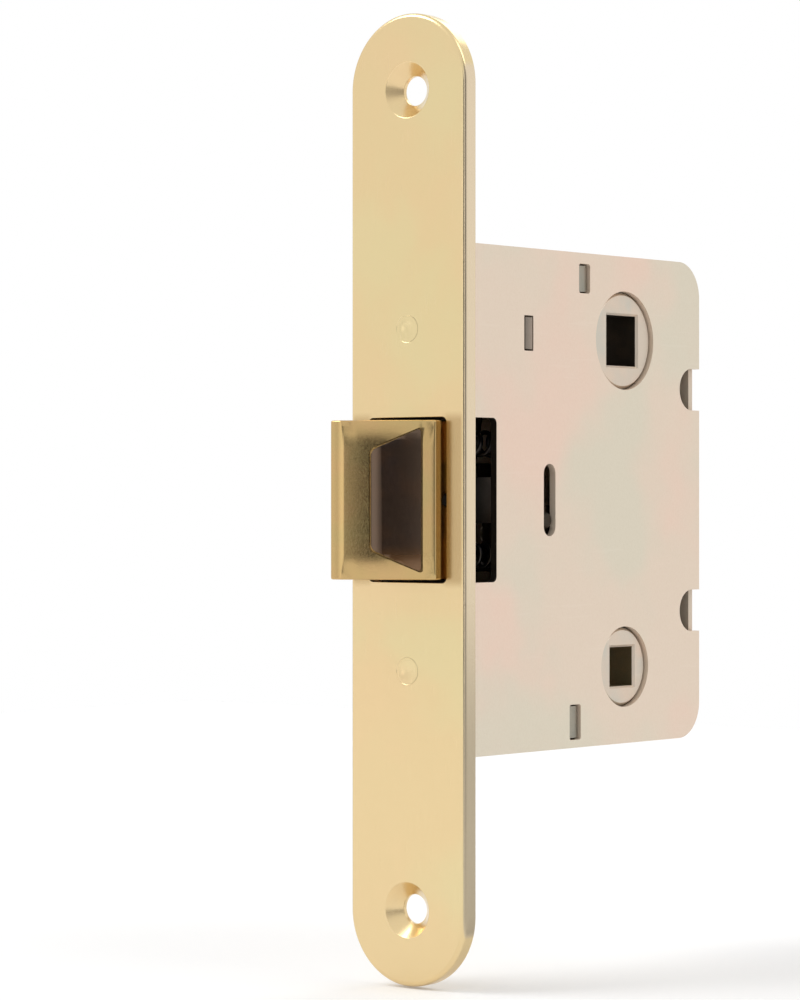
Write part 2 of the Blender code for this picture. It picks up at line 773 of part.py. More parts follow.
def make_detent_spring():
    """A bowed leaf that stands on the tray's bottom wall and bears on a flat of the privacy hub."""
    half_sheet = DETENT_SPRING_SHEET / 2
    top = PRIVACY_Z - DETENT_WIDTH / 2 - GAP - half_sheet
    bottom = -CASE_TOP + CASE_SHEET + GAP + half_sheet
    half_span = DETENT_SPRING_SPAN / 2
    half_flat = DETENT_SPRING_FLAT / 2
    path = (
        Vector((BACKSET - half_span - DETENT_SPRING_TOE, bottom)),
        Vector((BACKSET - half_span, bottom)),
        Vector((BACKSET - half_flat, top)),
        Vector((BACKSET + half_flat, top)),
        Vector((BACKSET + half_span, bottom)),
        Vector((BACKSET + half_span + DETENT_SPRING_TOE, bottom)),
    )
    leaf = prism(strip(path, DETENT_SPRING_SHEET), LEVER_OUTER + LAYER_GAP, LEVER_INNER - LAYER_GAP)
    piece("detent_spring", leaf, SPRING_STEEL)


def finger_tip(turn):
    """The middle of the follower's finger tip once the follower has turned, in the YZ plane."""
    angle = FINGER_REST - turn
    return Vector(
        (BACKSET - FINGER_RADIUS * math.cos(angle), HUB_Z - FINGER_RADIUS * math.sin(angle))
    )


def square_bore(z, width):
    """A cutter for a hub's square, which widens to a chamfer at each face of the hub."""
    face = CASE_HALF - HUB_RECESS

    def section(grown):
        half = width / 2 + grown
        return box_outline(BACKSET - half, BACKSET + half, z - half, z + half)

    return loft(
        (
            (section(SQUARE_CHAMFER + OVERCUT), -face - OVERCUT),
            (section(0), -face + SQUARE_CHAMFER),
            (section(0), face - SQUARE_CHAMFER),
            (section(SQUARE_CHAMFER + OVERCUT), face + OVERCUT),
        ),
        "X",
    )


def make_follower(axis_empty):
    face = CASE_HALF - HUB_RECESS
    barrel = (
        (-face, FOLLOWER_RADIUS - HUB_CHAMFER),
        (-face + HUB_CHAMFER, FOLLOWER_RADIUS),
        (FOLLOWER_FLANGE_BACK, FOLLOWER_RADIUS),
        (FOLLOWER_FLANGE_BACK, FOLLOWER_FLANGE_RADIUS),
        (SNIB_OUTER, FOLLOWER_FLANGE_RADIUS),
        (SNIB_OUTER, FOLLOWER_RADIUS),
        (face - HUB_CHAMFER, FOLLOWER_RADIUS),
        (face, FOLLOWER_RADIUS - HUB_CHAMFER),
    )
    follower = piece("follower", turned(BACKSET, HUB_Z, barrel), ZINC, axis_empty)
    tip = finger_tip(0)
    inward = (Vector((BACKSET, HUB_Z)) - tip).normalized()
    across = Vector((-inward.y, inward.x)) * FINGER_WIDTH / 2
    root = tip + inward * (FINGER_RADIUS - FOLLOWER_RADIUS + FINGER_ROOT)
    finger = [tip - across, root - across, root + across, tip + across]
    join(follower, prism(finger, LEVER_OUTER, LEVER_INNER))
    join(follower, prism(circle(tip.x, tip.y, FINGER_TIP_RADIUS), LEVER_OUTER, LEVER_INNER))
    cut(follower, square_bore(HUB_Z, FOLLOWER_SQUARE))


def crank_seat():
    """(underside of the crank's arm above its pivot, end of the arm), from the finger tip's path.

    The tip is followed in the crank's own frame as both turn at their fixed ratio.
    """
    pivot = Vector((CRANK_Y, CRANK_Z))
    steps = 24
    path = []
    for k in range(steps + 1):
        share = k / steps
        offset = finger_tip(share * FOLLOWER_TURN) - pivot
        path.append(Matrix.Rotation(-share * CRANK_TURN, 2) @ offset)
    underside = max(point.y for point in path) + FINGER_TIP_RADIUS + GAP
    return underside, max(point.x for point in path) + CRANK_ARM_PAST_CONTACT


def make_retractor_crank(axis_empty):
    """The bell crank that turns the finger's lift into the yoke's draw."""
    boss = prism(circle(CRANK_Y, CRANK_Z, CRANK_BOSS_RADIUS), LEVER_OUTER, LEVER_INNER)
    crank = piece("retractor_crank", boss, STEEL, axis_empty)
    underside, reach = crank_seat()
    arm = rounded(
        (
            (CRANK_Y, CRANK_Z - CRANK_BOSS_RADIUS / 2, 0),
            (CRANK_Y + CRANK_BOSS_RADIUS, CRANK_Z + underside, CORNER),
            (CRANK_Y + reach, CRANK_Z + underside, FINE_CORNER),
            (CRANK_Y + reach, CRANK_Z + CRANK_ARM_TOP, CORNER),
            (CRANK_Y + CRANK_BOSS_RADIUS, CRANK_Z + CRANK_ARM_TOP, CORNER),
            (CRANK_Y, CRANK_Z + CRANK_ARM_ROOT_TOP, 0),
        )
    )
    pivot = Vector((CRANK_Y, CRANK_Z))
    down = (CRANK_TIP - pivot).normalized()
    across = Vector((-down.y, down.x))
    tip_half = across * CRANK_DROP_WIDTH / 2
    root_half = across * CRANK_DROP_ROOT_WIDTH / 2
    shank = [pivot - root_half, CRANK_TIP - tip_half, CRANK_TIP + tip_half, pivot + root_half]
    join(crank, prism(arm, LEVER_OUTER + LAYER_STEP, LEVER_INNER - LAYER_STEP))
    join(crank, prism(shank, LEVER_OUTER + 2 * LAYER_STEP, LEVER_INNER - 2 * LAYER_STEP))
    tip = circle(CRANK_TIP.x, CRANK_TIP.y, CRANK_TIP_RADIUS)
    join(crank, prism(tip, LEVER_OUTER, LEVER_INNER))
    eye = circle(CRANK_Y, CRANK_Z, CRANK_POST_RADIUS + GAP)
    cut(crank, prism(eye, LEVER_OUTER - OVERCUT, LEVER_INNER + OVERCUT))


def make_retractor_yoke(axis_empty):
    """The sliding plate between crank and tail pin, forked over the bridge's foot."""
    fork_bottom = FOOT_Z - FOOT_HEIGHT / 2 - GAP
    fork_top = FOOT_Z + FOOT_HEIGHT / 2 + GAP
    fork_rear = BRIDGE_Y + BRIDGE_THICKNESS + GAP
    prong = YOKE_FRONT - YOKE_PRONG_REACH
    outline = rounded(
        (
            (prong, YOKE_BOTTOM, WIDE_CORNER),
            (YOKE_REAR, YOKE_BOTTOM, CORNER),
            (YOKE_REAR, YOKE_REAR_TOP, WIDE_CORNER),
            (YOKE_REAR - YOKE_REAR_SLOPE, YOKE_TOP, WIDE_CORNER),
            (YOKE_FRONT, YOKE_TOP, FINE_CORNER),
            (YOKE_FRONT, YOKE_SHOULDER_BASE, FINE_CORNER),
            (prong, YOKE_SHOULDER_BASE, WIDE_CORNER),
            (prong, fork_top, FINE_CORNER),
            (fork_rear, fork_top, FINE_CORNER),
            (fork_rear, fork_bottom, FINE_CORNER),
            (prong, fork_bottom, FINE_CORNER),
        )
    )
    piece("retractor_yoke", prism(outline, LEVER_OUTER, LEVER_INNER), STEEL, axis_empty)


def bevel_ends():
    half = LATCH_WIDTH / 2
    return Vector((-half + LATCH_NOSE, -LATCH_REACH)), Vector((half, -LATCH_EDGE))


def bevel_arc():
    """The middle and the radius, in XY, of the arc that crowns the latch's bevel."""
    start, end = bevel_ends()
    half_chord = (end - start) / 2
    radius = (half_chord.length_squared + BEVEL_CROWN**2) / (2 * BEVEL_CROWN)
    inward = Vector((-half_chord.y, half_chord.x)).normalized()
    return start + half_chord + inward * (radius - BEVEL_CROWN), radius


def latch_section(inset):
    """The latch head's outline seen from above, every side moved in by the inset."""
    side = LATCH_WIDTH / 2 - inset
    front = -LATCH_REACH + inset
    rear = LATCH_REAR - inset
    centre, radius = bevel_arc()
    radius -= inset
    first = math.asin((front - centre.y) / radius)
    last = -math.acos((side - centre.x) / radius)
    bevel = []
    for k in range(BEVEL_STEPS + 1):
        angle = first + (last - first) * k / BEVEL_STEPS
        bevel.append(centre + Vector((math.cos(angle), math.sin(angle))) * radius)
    return rounded(
        (
            (-side, front, FINE_CORNER),
            (*bevel[0], LATCH_NOSE_ROUND),
            *((*point, 0) for point in bevel[1:-1]),
            (*bevel[-1], FINE_CORNER),
            (side, rear, FINE_CORNER),
            (-side, rear, FINE_CORNER),
        )
    )


def insert_shape(margin, low, high):
    """A block in the bevel that widens towards the faceplate, between two levels off the chord."""
    start, end = bevel_ends()
    along = (end - start).normalized()
    outward = Vector((along.y, -along.x))
    tip_half = INSERT_TIP_HEIGHT / 2 + margin
    root_half = INSERT_ROOT_HEIGHT / 2 + margin
    near = INSERT_START - margin
    far = INSERT_START + INSERT_LENGTH + margin
    outline = rounded(
        (
            (near, -tip_half, CORNER),
            (far, -root_half, CORNER),
            (far, root_half, CORNER),
            (near, tip_half, CORNER),
        )
    )
    shape = prism(outline, low, high, "Z")
    frame = Matrix(
        (
            (along.x, 0, outward.x, start.x),
            (along.y, 0, outward.y, start.y),
            (0, 1, 0, 0),
            (0, 0, 0, 1),
        )
    )
    bmesh.ops.transform(shape, matrix=frame, verts=shape.verts)
    bmesh.ops.recalc_face_normals(shape, faces=shape.faces)
    return shape


def make_latch(axis_empty):
    half = LATCH_WIDTH / 2
    top = LATCH_HEIGHT / 2
    body = loft(
        (
            (latch_section(FINE_CORNER), -top),
            (latch_section(0), -top + FINE_CORNER),
            (latch_section(0), top - FINE_CORNER),
            (latch_section(FINE_CORNER), top),
        ),
        "Z",
    )
    head = piece("latch_head", body, LATCH_BRASS, axis_empty)
    half_tail = TAIL_THICKNESS / 2 + GAP
    tail_top = TAIL_HEIGHT / 2 + GAP
    slot = box_outline(-TAIL_ROOT - GAP, LATCH_REAR + OVERCUT, -tail_top, tail_top)
    pocket_half = POCKET_HEIGHT / 2
    pocket = box_outline(
        LATCH_REAR - POCKET_DEPTH, LATCH_REAR + OVERCUT, -pocket_half, pocket_half, CORNER
    )
    rivet_bore = TAIL_RIVET_RADIUS + GAP
    bore = ((-half - OVERCUT, rivet_bore), (half + OVERCUT, rivet_bore))
    cut(head, prism(slot, -half_tail, half_tail))
    cut(
        head,
        together(
            prism(pocket, WEB_WIDTH / 2, half + OVERCUT),
            prism(pocket, -half - OVERCUT, -WEB_WIDTH / 2),
        ),
    )
    rivet_y = LATCH_REAR - POCKET_DEPTH - TAIL_RIVET_RADIUS - 2 * GAP
    cut(head, turned(rivet_y, 0, bore))
    cut(head, insert_shape(GAP, -INSERT_THICKNESS - GAP, BEVEL_CROWN + OVERCUT))
    block = insert_shape(0, -INSERT_THICKNESS, BEVEL_CROWN + OVERCUT)
    insert = piece("latch_insert", block, BLACK_NYLON, axis_empty)
    boolean(insert, prism(latch_section(-INSERT_PROUD), -top, top, "Z"), "INTERSECT")
    rivet = ((-half + GAP, TAIL_RIVET_RADIUS), (half - GAP, TAIL_RIVET_RADIUS))
    piece("tail_rivet", turned(rivet_y, 0, rivet), STEEL, axis_empty)
    bar_end = TAIL_PIN_Y + TAIL_PIN_RADIUS + TAIL_BEHIND_PIN
    half_bar = TAIL_HEIGHT / 2
    bar = rounded(
        (
            (-TAIL_ROOT, -half_bar, FINE_CORNER),
            (bar_end, -half_bar, WIDE_CORNER),
            (bar_end, half_bar, WIDE_CORNER),
            (-TAIL_ROOT, half_bar, FINE_CORNER),
        )
    )
    tail = prism(bar, -TAIL_THICKNESS / 2, TAIL_THICKNESS / 2)
    tail = piece("latch_tail", tail, STEEL, axis_empty)
    pin_bore = circle(TAIL_PIN_Y, 0, TAIL_PIN_RADIUS + GAP)
    thickness = (-TAIL_THICKNESS / 2 - OVERCUT, TAIL_THICKNESS / 2 + OVERCUT)
    cut(tail, together(prism(pin_bore, *thickness), prism(circle(rivet_y, 0, rivet_bore), *thickness)))
    reach = CASE_INNER - LAYER_GAP
    pin = (
        (-reach, TAIL_PIN_RADIUS - FINE_CORNER),
        (-reach + FINE_CORNER, TAIL_PIN_RADIUS),
        (reach - FINE_CORNER, TAIL_PIN_RADIUS),
        (reach, TAIL_PIN_RADIUS - FINE_CORNER),
    )
    piece("tail_pin", turned(TAIL_PIN_Y, 0, pin), STEEL, axis_empty)


def snail_outline():
    """The cam's outline: a spiral that lifts the slide's foot evenly over a quarter turn.

    The foot's middle stands over the hub, so the spiral is drawn for that point and then moved in
    by the foot's radius and the gap, square to the spiral.
    """
    offset = SNIB_FOOT_RADIUS + GAP
    inner = CAM_RADIUS + offset
    steps = 20
    points = []
    for k in range(steps + 1):
        angle = math.pi / 2 * k / steps
        radius = inner + CAM_RISE * (math.pi / 2 - angle)
        out = Vector((math.cos(angle), math.sin(angle)))
        around = Vector((-math.sin(angle), math.cos(angle)))
        normal = (out * radius + around * CAM_RISE).normalized()
        points.append(out * radius - normal * offset)
    start_angle = math.atan2(points[-1].y, points[-1].x)
    end_angle = 2 * math.pi - CAM_FLANK
    for k in range(1, steps + 1):
        angle = start_angle + (end_angle - start_angle) * k / steps
        points.append(Vector((math.cos(angle), math.sin(angle))) * CAM_RADIUS)
    centre = Vector((BACKSET, PRIVACY_Z))
    return [centre + point for point in points]


def make_privacy_hub(axis_empty):
    face = CASE_HALF - HUB_RECESS
    barrel = (
        (-face, PRIVACY_RADIUS - HUB_CHAMFER),
        (-face + HUB_CHAMFER, PRIVACY_RADIUS),
        (LEVER_INNER - PRIVACY_FLANGE_OVERLAP, PRIVACY_RADIUS),
        (LEVER_INNER - PRIVACY_FLANGE_OVERLAP, PRIVACY_FLANGE_RADIUS),
        (SNIB_INNER + PRIVACY_FLANGE_OVERLAP, PRIVACY_FLANGE_RADIUS),
        (SNIB_INNER + PRIVACY_FLANGE_OVERLAP, PRIVACY_RADIUS),
        (face - HUB_CHAMFER, PRIVACY_RADIUS),
        (face, PRIVACY_RADIUS - HUB_CHAMFER),
    )
    hub = piece("privacy_hub", turned(BACKSET, PRIVACY_Z, barrel), ZINC, axis_empty)
    half = DETENT_WIDTH / 2
    detent = box_outline(BACKSET - half, BACKSET + half, PRIVACY_Z - half, PRIVACY_Z + half, DETENT_CORNER)
    join(hub, prism(detent, LEVER_OUTER, LEVER_INNER), prism(snail_outline(), SNIB_INNER, SNIB_OUTER))
    cut(hub, square_bore(PRIVACY_Z, PRIVACY_SQUARE))


def make_snib(axis_empty):
    """The slide that the cam lifts behind the tail pin, and its guide pin in the cover's slot."""
    shelf = -TAIL_PIN_RADIUS - SNIB_LIFT - SNIB_SHELF_GAP
    nose_front = TAIL_PIN_Y + TAIL_PIN_RADIUS + SNIB_NOSE_GAP
    nose_rear = nose_front + SNIB_NOSE_LENGTH
    nose_top = -TAIL_PIN_RADIUS - SNIB_UNDER_PIN
    foot_z = PRIVACY_Z + CAM_RADIUS + SNIB_FOOT_RADIUS + GAP
    foot_front = BACKSET - SNIB_FOOT_RADIUS
    foot_rear = BACKSET + SNIB_FOOT_RADIUS
    eye_front = SLOT_Y - SNIB_EYE_RADIUS
    eye_top = SNIB_PIN_Z + SNIB_EYE_RADIUS
    eye_bottom = SNIB_PIN_Z - SNIB_EYE_RADIUS
    slot_half = GUIDE_RADIUS + GAP
    body_front = GUIDE_Y - slot_half - GUIDE_WALL
    body_rear = GUIDE_Y + slot_half + GUIDE_WALL
    body_bottom = GUIDE_Z - SNIB_LIFT - slot_half - GUIDE_WALL
    step = TAIL_PIN_Y - TAIL_PIN_RADIUS - SNIB_STEP_GAP
    outline = rounded(
        (
            (eye_front, eye_bottom, SNIB_EYE_RADIUS * FULL_ROUND),
            (body_front, eye_bottom, CORNER),
            (body_front, body_bottom, WIDE_CORNER),
            (body_rear, body_bottom, WIDE_CORNER),
            (body_rear, foot_z + 2 * SNIB_FOOT_RADIUS, WIDE_CORNER),
            (foot_front, foot_z + 2 * SNIB_FOOT_RADIUS, FINE_CORNER),
            (foot_front, foot_z - SNIB_FOOT_RADIUS, SNIB_FOOT_RADIUS * FULL_ROUND),
            (foot_rear, foot_z - SNIB_FOOT_RADIUS, SNIB_FOOT_RADIUS * FULL_ROUND),
            (foot_rear, shelf, FINE_CORNER),
            (nose_rear, shelf, FINE_CORNER),
            (nose_rear, nose_top, FINE_CORNER),
            (nose_front, nose_top, FINE_CORNER),
            (nose_front, shelf, FINE_CORNER),
            (step, shelf, FINE_CORNER),
            (step, eye_top, CORNER),
            (eye_front, eye_top, SNIB_EYE_RADIUS * FULL_ROUND),
        )
    )
    slide = piece("snib_slide", prism(outline, SNIB_INNER, SNIB_OUTER), STEEL, axis_empty)
    guide_slot = box_outline(
        GUIDE_Y - slot_half,
        GUIDE_Y + slot_half,
        GUIDE_Z - SNIB_LIFT - slot_half,
        GUIDE_Z + slot_half,
        slot_half * FULL_ROUND,
    )
    pin_bore = circle(SLOT_Y, SNIB_PIN_Z, SNIB_PIN_RADIUS + GAP)
    thickness = (SNIB_INNER - OVERCUT, SNIB_OUTER + OVERCUT)
    cut(slide, together(prism(guide_slot, *thickness), prism(pin_bore, *thickness)))
    pin_end = CASE_INNER + SNIB_PIN_INTO_SHEET
    pin = (
        (SNIB_INNER, SNIB_PIN_RADIUS),
        (pin_end - SNIB_PIN_CHAMFER, SNIB_PIN_RADIUS),
        (pin_end, SNIB_PIN_RADIUS - SNIB_PIN_CHAMFER),
    )
    piece("snib_pin", turned(SLOT_Y, SNIB_PIN_Z, pin), DARK_STEEL, axis_empty)


def main():
    clear_scene()
    make_faceplate()
    make_faceplate_rivet("faceplate_rivet_upper", PLATE_RIVET_SPACING / 2)
    make_faceplate_rivet("faceplate_rivet_lower", -PLATE_RIVET_SPACING / 2)
    make_case_tray()
    make_case_cover()
    make_spacer_pillar("spacer_pillar_upper", PILLAR_UPPER_Y, PILLAR_Z, TENON_UPPER_HEIGHT)
    make_spacer_pillar("spacer_pillar_lower", PILLAR_LOWER_Y, -PILLAR_Z, TENON_LOWER_HEIGHT)
    make_crank_post()
    make_crank_clip()
    make_spring_bridge()
    make_springs()
    make_detent_spring()
    make_follower(joint_axis("follower_axis", (0, BACKSET, HUB_Z)))
    make_retractor_crank(joint_axis("crank_axis", (0, CRANK_Y, CRANK_Z)))
    make_retractor_yoke(joint_axis("yoke_axis", (0, YOKE_FRONT, 0)))
    make_latch(joint_axis("latch_axis", (0, 0, 0)))
    make_privacy_hub(joint_axis("privacy_axis", (0, BACKSET, PRIVACY_Z)))
    make_snib(joint_axis("snib_axis", (0, GUIDE_Y, GUIDE_Z)))


main()
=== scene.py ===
import json
import math

import bmesh
import bpy
from mathutils import Matrix, Vector


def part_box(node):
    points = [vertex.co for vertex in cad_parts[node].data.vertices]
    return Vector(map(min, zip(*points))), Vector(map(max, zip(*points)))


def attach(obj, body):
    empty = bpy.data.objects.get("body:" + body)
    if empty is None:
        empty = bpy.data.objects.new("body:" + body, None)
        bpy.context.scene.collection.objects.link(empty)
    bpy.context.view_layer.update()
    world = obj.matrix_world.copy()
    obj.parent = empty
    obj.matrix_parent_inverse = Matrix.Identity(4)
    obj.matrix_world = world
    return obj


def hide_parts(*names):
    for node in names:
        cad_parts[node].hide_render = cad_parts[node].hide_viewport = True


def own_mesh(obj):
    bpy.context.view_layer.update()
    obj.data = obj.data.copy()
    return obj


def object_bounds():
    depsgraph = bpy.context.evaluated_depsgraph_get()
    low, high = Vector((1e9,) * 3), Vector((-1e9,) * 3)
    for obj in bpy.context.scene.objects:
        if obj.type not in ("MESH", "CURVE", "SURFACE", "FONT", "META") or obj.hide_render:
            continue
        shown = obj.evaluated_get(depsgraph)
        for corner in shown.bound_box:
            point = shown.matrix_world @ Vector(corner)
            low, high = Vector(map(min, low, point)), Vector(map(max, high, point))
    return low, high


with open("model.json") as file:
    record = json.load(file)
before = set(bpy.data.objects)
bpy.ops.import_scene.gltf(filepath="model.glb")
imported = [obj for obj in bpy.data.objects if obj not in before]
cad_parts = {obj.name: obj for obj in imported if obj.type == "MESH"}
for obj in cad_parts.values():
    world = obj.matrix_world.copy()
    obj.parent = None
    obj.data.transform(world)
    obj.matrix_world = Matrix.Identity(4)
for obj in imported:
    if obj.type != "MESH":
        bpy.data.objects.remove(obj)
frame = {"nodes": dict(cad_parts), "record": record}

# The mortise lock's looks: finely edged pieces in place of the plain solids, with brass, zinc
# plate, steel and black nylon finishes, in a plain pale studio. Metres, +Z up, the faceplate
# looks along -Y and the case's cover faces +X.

CAD_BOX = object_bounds()

# Running gap between neighbouring pieces, and how far a cutter runs past what it cuts
GAP = 0.0003
PAST = 0.001

# How near two places are the same, and how near points are merged. A point counts as on a cutting
# plane only within ON_PLANE, so that the latch's crown keeps all its facets
NEAR = 1e-5
MERGE = 1e-6
ON_PLANE = 1e-7

# Corner radius of a round end, as a share of half its width
FULL_ROUND = 0.99

# Faces nearer to one plane than FLAT_ANGLE are one flat, edges past SHARP_ANGLE are broken, and
# shading is smooth up to SMOOTH_ANGLE
FLAT_ANGLE = math.radians(0.4)
SHARP_ANGLE = math.radians(30)
SMOOTH_ANGLE = math.radians(42)

# How wide each piece's sharp edges are broken
PLATE_BREAK = 0.00012
RIVET_BREAK = 0.00006
COVER_BREAK = 0.0002
TRAY_BREAK = 0.00016
PILLAR_BREAK = 0.0001
HUB_BREAK = 0.00012
LATCH_BREAK = 0.0003
INSERT_BREAK = 0.00022
INNER_BREAK = 0.00008

# Faceplate
PLATE_THICKNESS = 0.003
PLATE_EDGE = 0.0008
PLATE_BACK_EDGE = 0.0002
OPENING_CORNER = 0.001
SCREW_Z = 0.0695
SCREW_BORE = 0.0025
SCREW_SINK = 0.00475
RIVET_Z = 0.029
RIVET_RADIUS = 0.0017
RIVET_HEAD = 0.0023
RIVET_TAIL = 0.0008
RIVET_SEAT_GAP = 0.00004
# The dished middle of a rivet's head as (depth, radius), and its flat rim
RIVET_DISH = ((0.00025, 0.0005), (0.00012, 0.0011))
RIVET_RIM_DEPTH = 0.00002
RIVET_RIM_START = 0.82
RIVET_TAIL_SHOULDER = 0.6
RIVET_TAIL_END = 0.7

# Latch head and insert
LATCH_HALF_WIDTH = 0.0079
LATCH_HALF_HEIGHT = 0.0134
LATCH_REACH = 0.0108
LATCH_REAR = 0.0045
LATCH_NOSE = 0.0021
LATCH_SIDE = 0.0022
LATCH_PLAY = 0.0006
LATCH_CROWN = 0.0007
NOSE_ROUND = 0.0013
# Where the bevel starts to fall away towards its ends, how far it falls, in how many rows, and
# over what distance the fall fades out at its long edges
EASE_START = 0.0090
EASE_DROP = 0.00036
EASE_ROWS = 4
EASE_RUN = 0.0018
INSERT_START = 0.0053
INSERT_LENGTH = 0.0085
INSERT_TIP_HALF = 0.00825
INSERT_ROOT_HALF = 0.0121
INSERT_DEPTH = 0.0013
INSERT_CORNER = 0.0008
WEB_HALF = 0.00235
POCKET_HALF_HEIGHT = 0.0065
POCKET_DEPTH = 0.002
TAIL_RIVET_RADIUS = 0.001
TAIL_RIVET_Y = 0.0009
TAIL_HALF_THICKNESS = 0.00175
TAIL_HALF_HEIGHT = 0.004
TAIL_ROOT = 0.0015

# Case
CASE_FRONT = 0.0033
CASE_REAR = 0.0735
CASE_TOP = 0.0435
CASE_HALF = 0.0096
CASE_FRONT_RADIUS = 0.0015
CASE_REAR_RADIUS = 0.0065
TRAY_BEND = 0.0008
SHEET = 0.00125
CASE_INNER = CASE_HALF - SHEET
WALL_TOP = CASE_INNER - GAP
WINDOW_REAR = 0.0124
OPENING_HALF = 0.0140
NOTCH_Z = 0.02025
NOTCH_RADIUS = 0.0038
NOTCH_DEPTH = 0.0063
SLOT_Y = 0.0275
SLOT_HALF_WIDTH = 0.0017
SLOT_HALF_LENGTH = 0.0063
HUB_Y = 0.050
HUB_Z = 0.0285
PRIVACY_Z = -0.0298
# Each pillar's node, Y, Z and half the height of its tenon
PILLARS = (
    ("spacer_pillar_upper", 0.0378, 0.039, 0.0023),
    ("spacer_pillar_lower", 0.035, -0.039, 0.0028),
)
PILLAR_RADIUS = 0.0024
PILLAR_NECK = 0.0018
PILLAR_STAKE = 0.0002
PILLAR_STAKE_END = 0.8
TENON_HALF_WIDTH = 0.00135
TENON_RECESS = 0.0006
TENON_CORNER = 0.0005
LUG_Y = 0.0215
LUG_Z = 0.0288
LUG_HALF = 0.001
LUG_HALF_HEIGHT = 0.00375
LUG_TENON_HALF = 0.00275
LUG_HOLE_CORNER = 0.0002
CRANK_POST_Y = 0.027
CRANK_POST_NECK = 0.0015
SPIGOT_Y = 0.03225
SPIGOT_Z = -0.006
SPIGOT_RADIUS = 0.0011
GUIDE_Y = 0.037
GUIDE_Z = -0.014
GUIDE_RADIUS = 0.0018

# Hubs, the follower's finger, and the privacy hub's detent and snail cam
HUB_FACE = 0.0090
HUB_CHAMFER = 0.0004
FOLLOWER_RADIUS = 0.0085
FOLLOWER_FLANGE = 0.0098
FOLLOWER_FLANGE_BACK = -0.0036
FOLLOWER_HALF_SQUARE = 0.0045
FINGER_REACH = 0.0102
FINGER_REST = math.radians(15)
FINGER_TIP_RADIUS = 0.002
FINGER_HALF_WIDTH = 0.0015
FINGER_SPAN = (-0.0002, 0.0032)
PRIVACY_RADIUS = 0.0069
PRIVACY_FLANGE = 0.0082
PRIVACY_FLANGE_OVERLAP = 0.0004
PRIVACY_HALF_SQUARE = 0.0035
DETENT_HALF = 0.0072
DETENT_CORNER = 0.002
CAM_RADIUS = 0.0085
CAM_FLANK = math.radians(40)
SNIB_LIFT = 0.0071
SNIB_FOOT = 0.0015
SQUARE_CHAMFER = 0.0004
# The two layers of moving sheet pieces, along X
LEVER_LOW = -0.00785
LEVER_HIGH = -0.00485
SNIB_LOW = 0.00535
SNIB_HIGH = 0.00785
LAYER_GAP = 0.0005

# Coil springs: each has its two ends along its axis, its outer radius and its wire's radius
COIL_STEPS = 28
CLOSED_PITCH = 2.1
LATCH_SPRING_Z = 0.0098
LATCH_SPRING = (0.0048, 0.0307, 0.0024, 0.0004)
RETURN_SPRING_X = -0.006
RETURN_SPRING_Z = -0.01045
RETURN_SPRING = (0.038, 0.0623, 0.0021, 0.00035)
RETURN_SEAT_HALF = 0.00275
SNIB_SPRING_X = 0.0066
SNIB_SPRING_Y = 0.034
SNIB_SPRING = (-0.00065, 0.01205, 0.00115, 0.00022)
SNIB_SEAT_HALF = 0.0014

# Camera, as near as the photograph's view could be read
VIEW_AZIMUTH = math.radians(39.2)
VIEW_DISTANCE = 0.586
VIEW_SIDE_OFFSET = 0.0012
LENS = 124.5


def select_only(thing):
    bpy.ops.object.select_all(action="DESELECT")
    thing.select_set(True)
    bpy.context.view_layer.objects.active = thing


def newest(name):
    """Names the primitive just added and puts its place into its mesh."""
    made = bpy.context.active_object
    made.name = name
    made.data.name = name
    bpy.ops.object.transform_apply(location=True, rotation=True, scale=True)
    return made


def settle(piece, matrix):
    """Moves a piece by moving its mesh."""
    piece.matrix_world = matrix
    select_only(piece)
    bpy.ops.object.transform_apply(location=True, rotation=True, scale=True)


def block(name, low, high):
    bpy.ops.object.select_all(action="DESELECT")
    size = Vector(high) - Vector(low)
    bpy.ops.mesh.primitive_cube_add(size=1, location=(Vector(high) + Vector(low)) / 2, scale=size)
    return newest(name)


# For each axis, its direction and the turn that brings +Z onto it
AXES = {
    "X": (Vector((1, 0, 0)), (0, math.pi / 2, 0)),
    "Y": (Vector((0, 1, 0)), (-math.pi / 2, 0, 0)),
}


def turned(name, axis, centre, profile, sides=96):
    """A turned piece: a disc that is drawn out and resized along a profile of (place, radius)."""
    bpy.ops.object.select_all(action="DESELECT")
    along, turn = AXES[axis]
    middle = Vector(centre) - along * along.dot(Vector(centre))
    place, radius = profile[0]
    bpy.ops.mesh.primitive_circle_add(
        vertices=sides,
        radius=radius,
        fill_type="NGON",
        location=middle + along * place,
        rotation=turn,
    )
    made = newest(name)
    bpy.ops.object.mode_set(mode="EDIT")
    bpy.ops.mesh.select_all(action="SELECT")
    for next_place, next_radius in profile[1:]:
        shift = along * (next_place - place)
        bpy.ops.mesh.extrude_region_move(TRANSFORM_OT_translate={"value": shift})
        share = next_radius / radius
        scale = [1 if along[i] else share for i in range(3)]
        bpy.ops.transform.resize(value=scale, center_override=middle + along * next_place)
        place, radius = next_place, next_radius
    bpy.ops.mesh.select_all(action="SELECT")
    bpy.ops.mesh.normals_make_consistent(inside=False)
    bpy.ops.object.mode_set(mode="OBJECT")
    return made


def choose(piece, kind, test):
    """In edit mode, selects the vertices, edges or faces that pass the test."""
    bpy.ops.mesh.select_mode(type=kind)
    bpy.ops.mesh.select_all(action="DESELECT")
    mesh = bmesh.from_edit_mesh(piece.data)
    group = {"VERT": mesh.verts, "EDGE": mesh.edges, "FACE": mesh.faces}[kind]
    for item in group:
        if test(item):
            item.select_set(True)
    bmesh.update_edit_mesh(piece.data)


def runs_along(edge, axis):
    line = edge.verts[1].co - edge.verts[0].co
    return abs(line[axis]) > 0.999 * line.length


def middle_of(edge):
    return (edge.verts[0].co + edge.verts[1].co) / 2


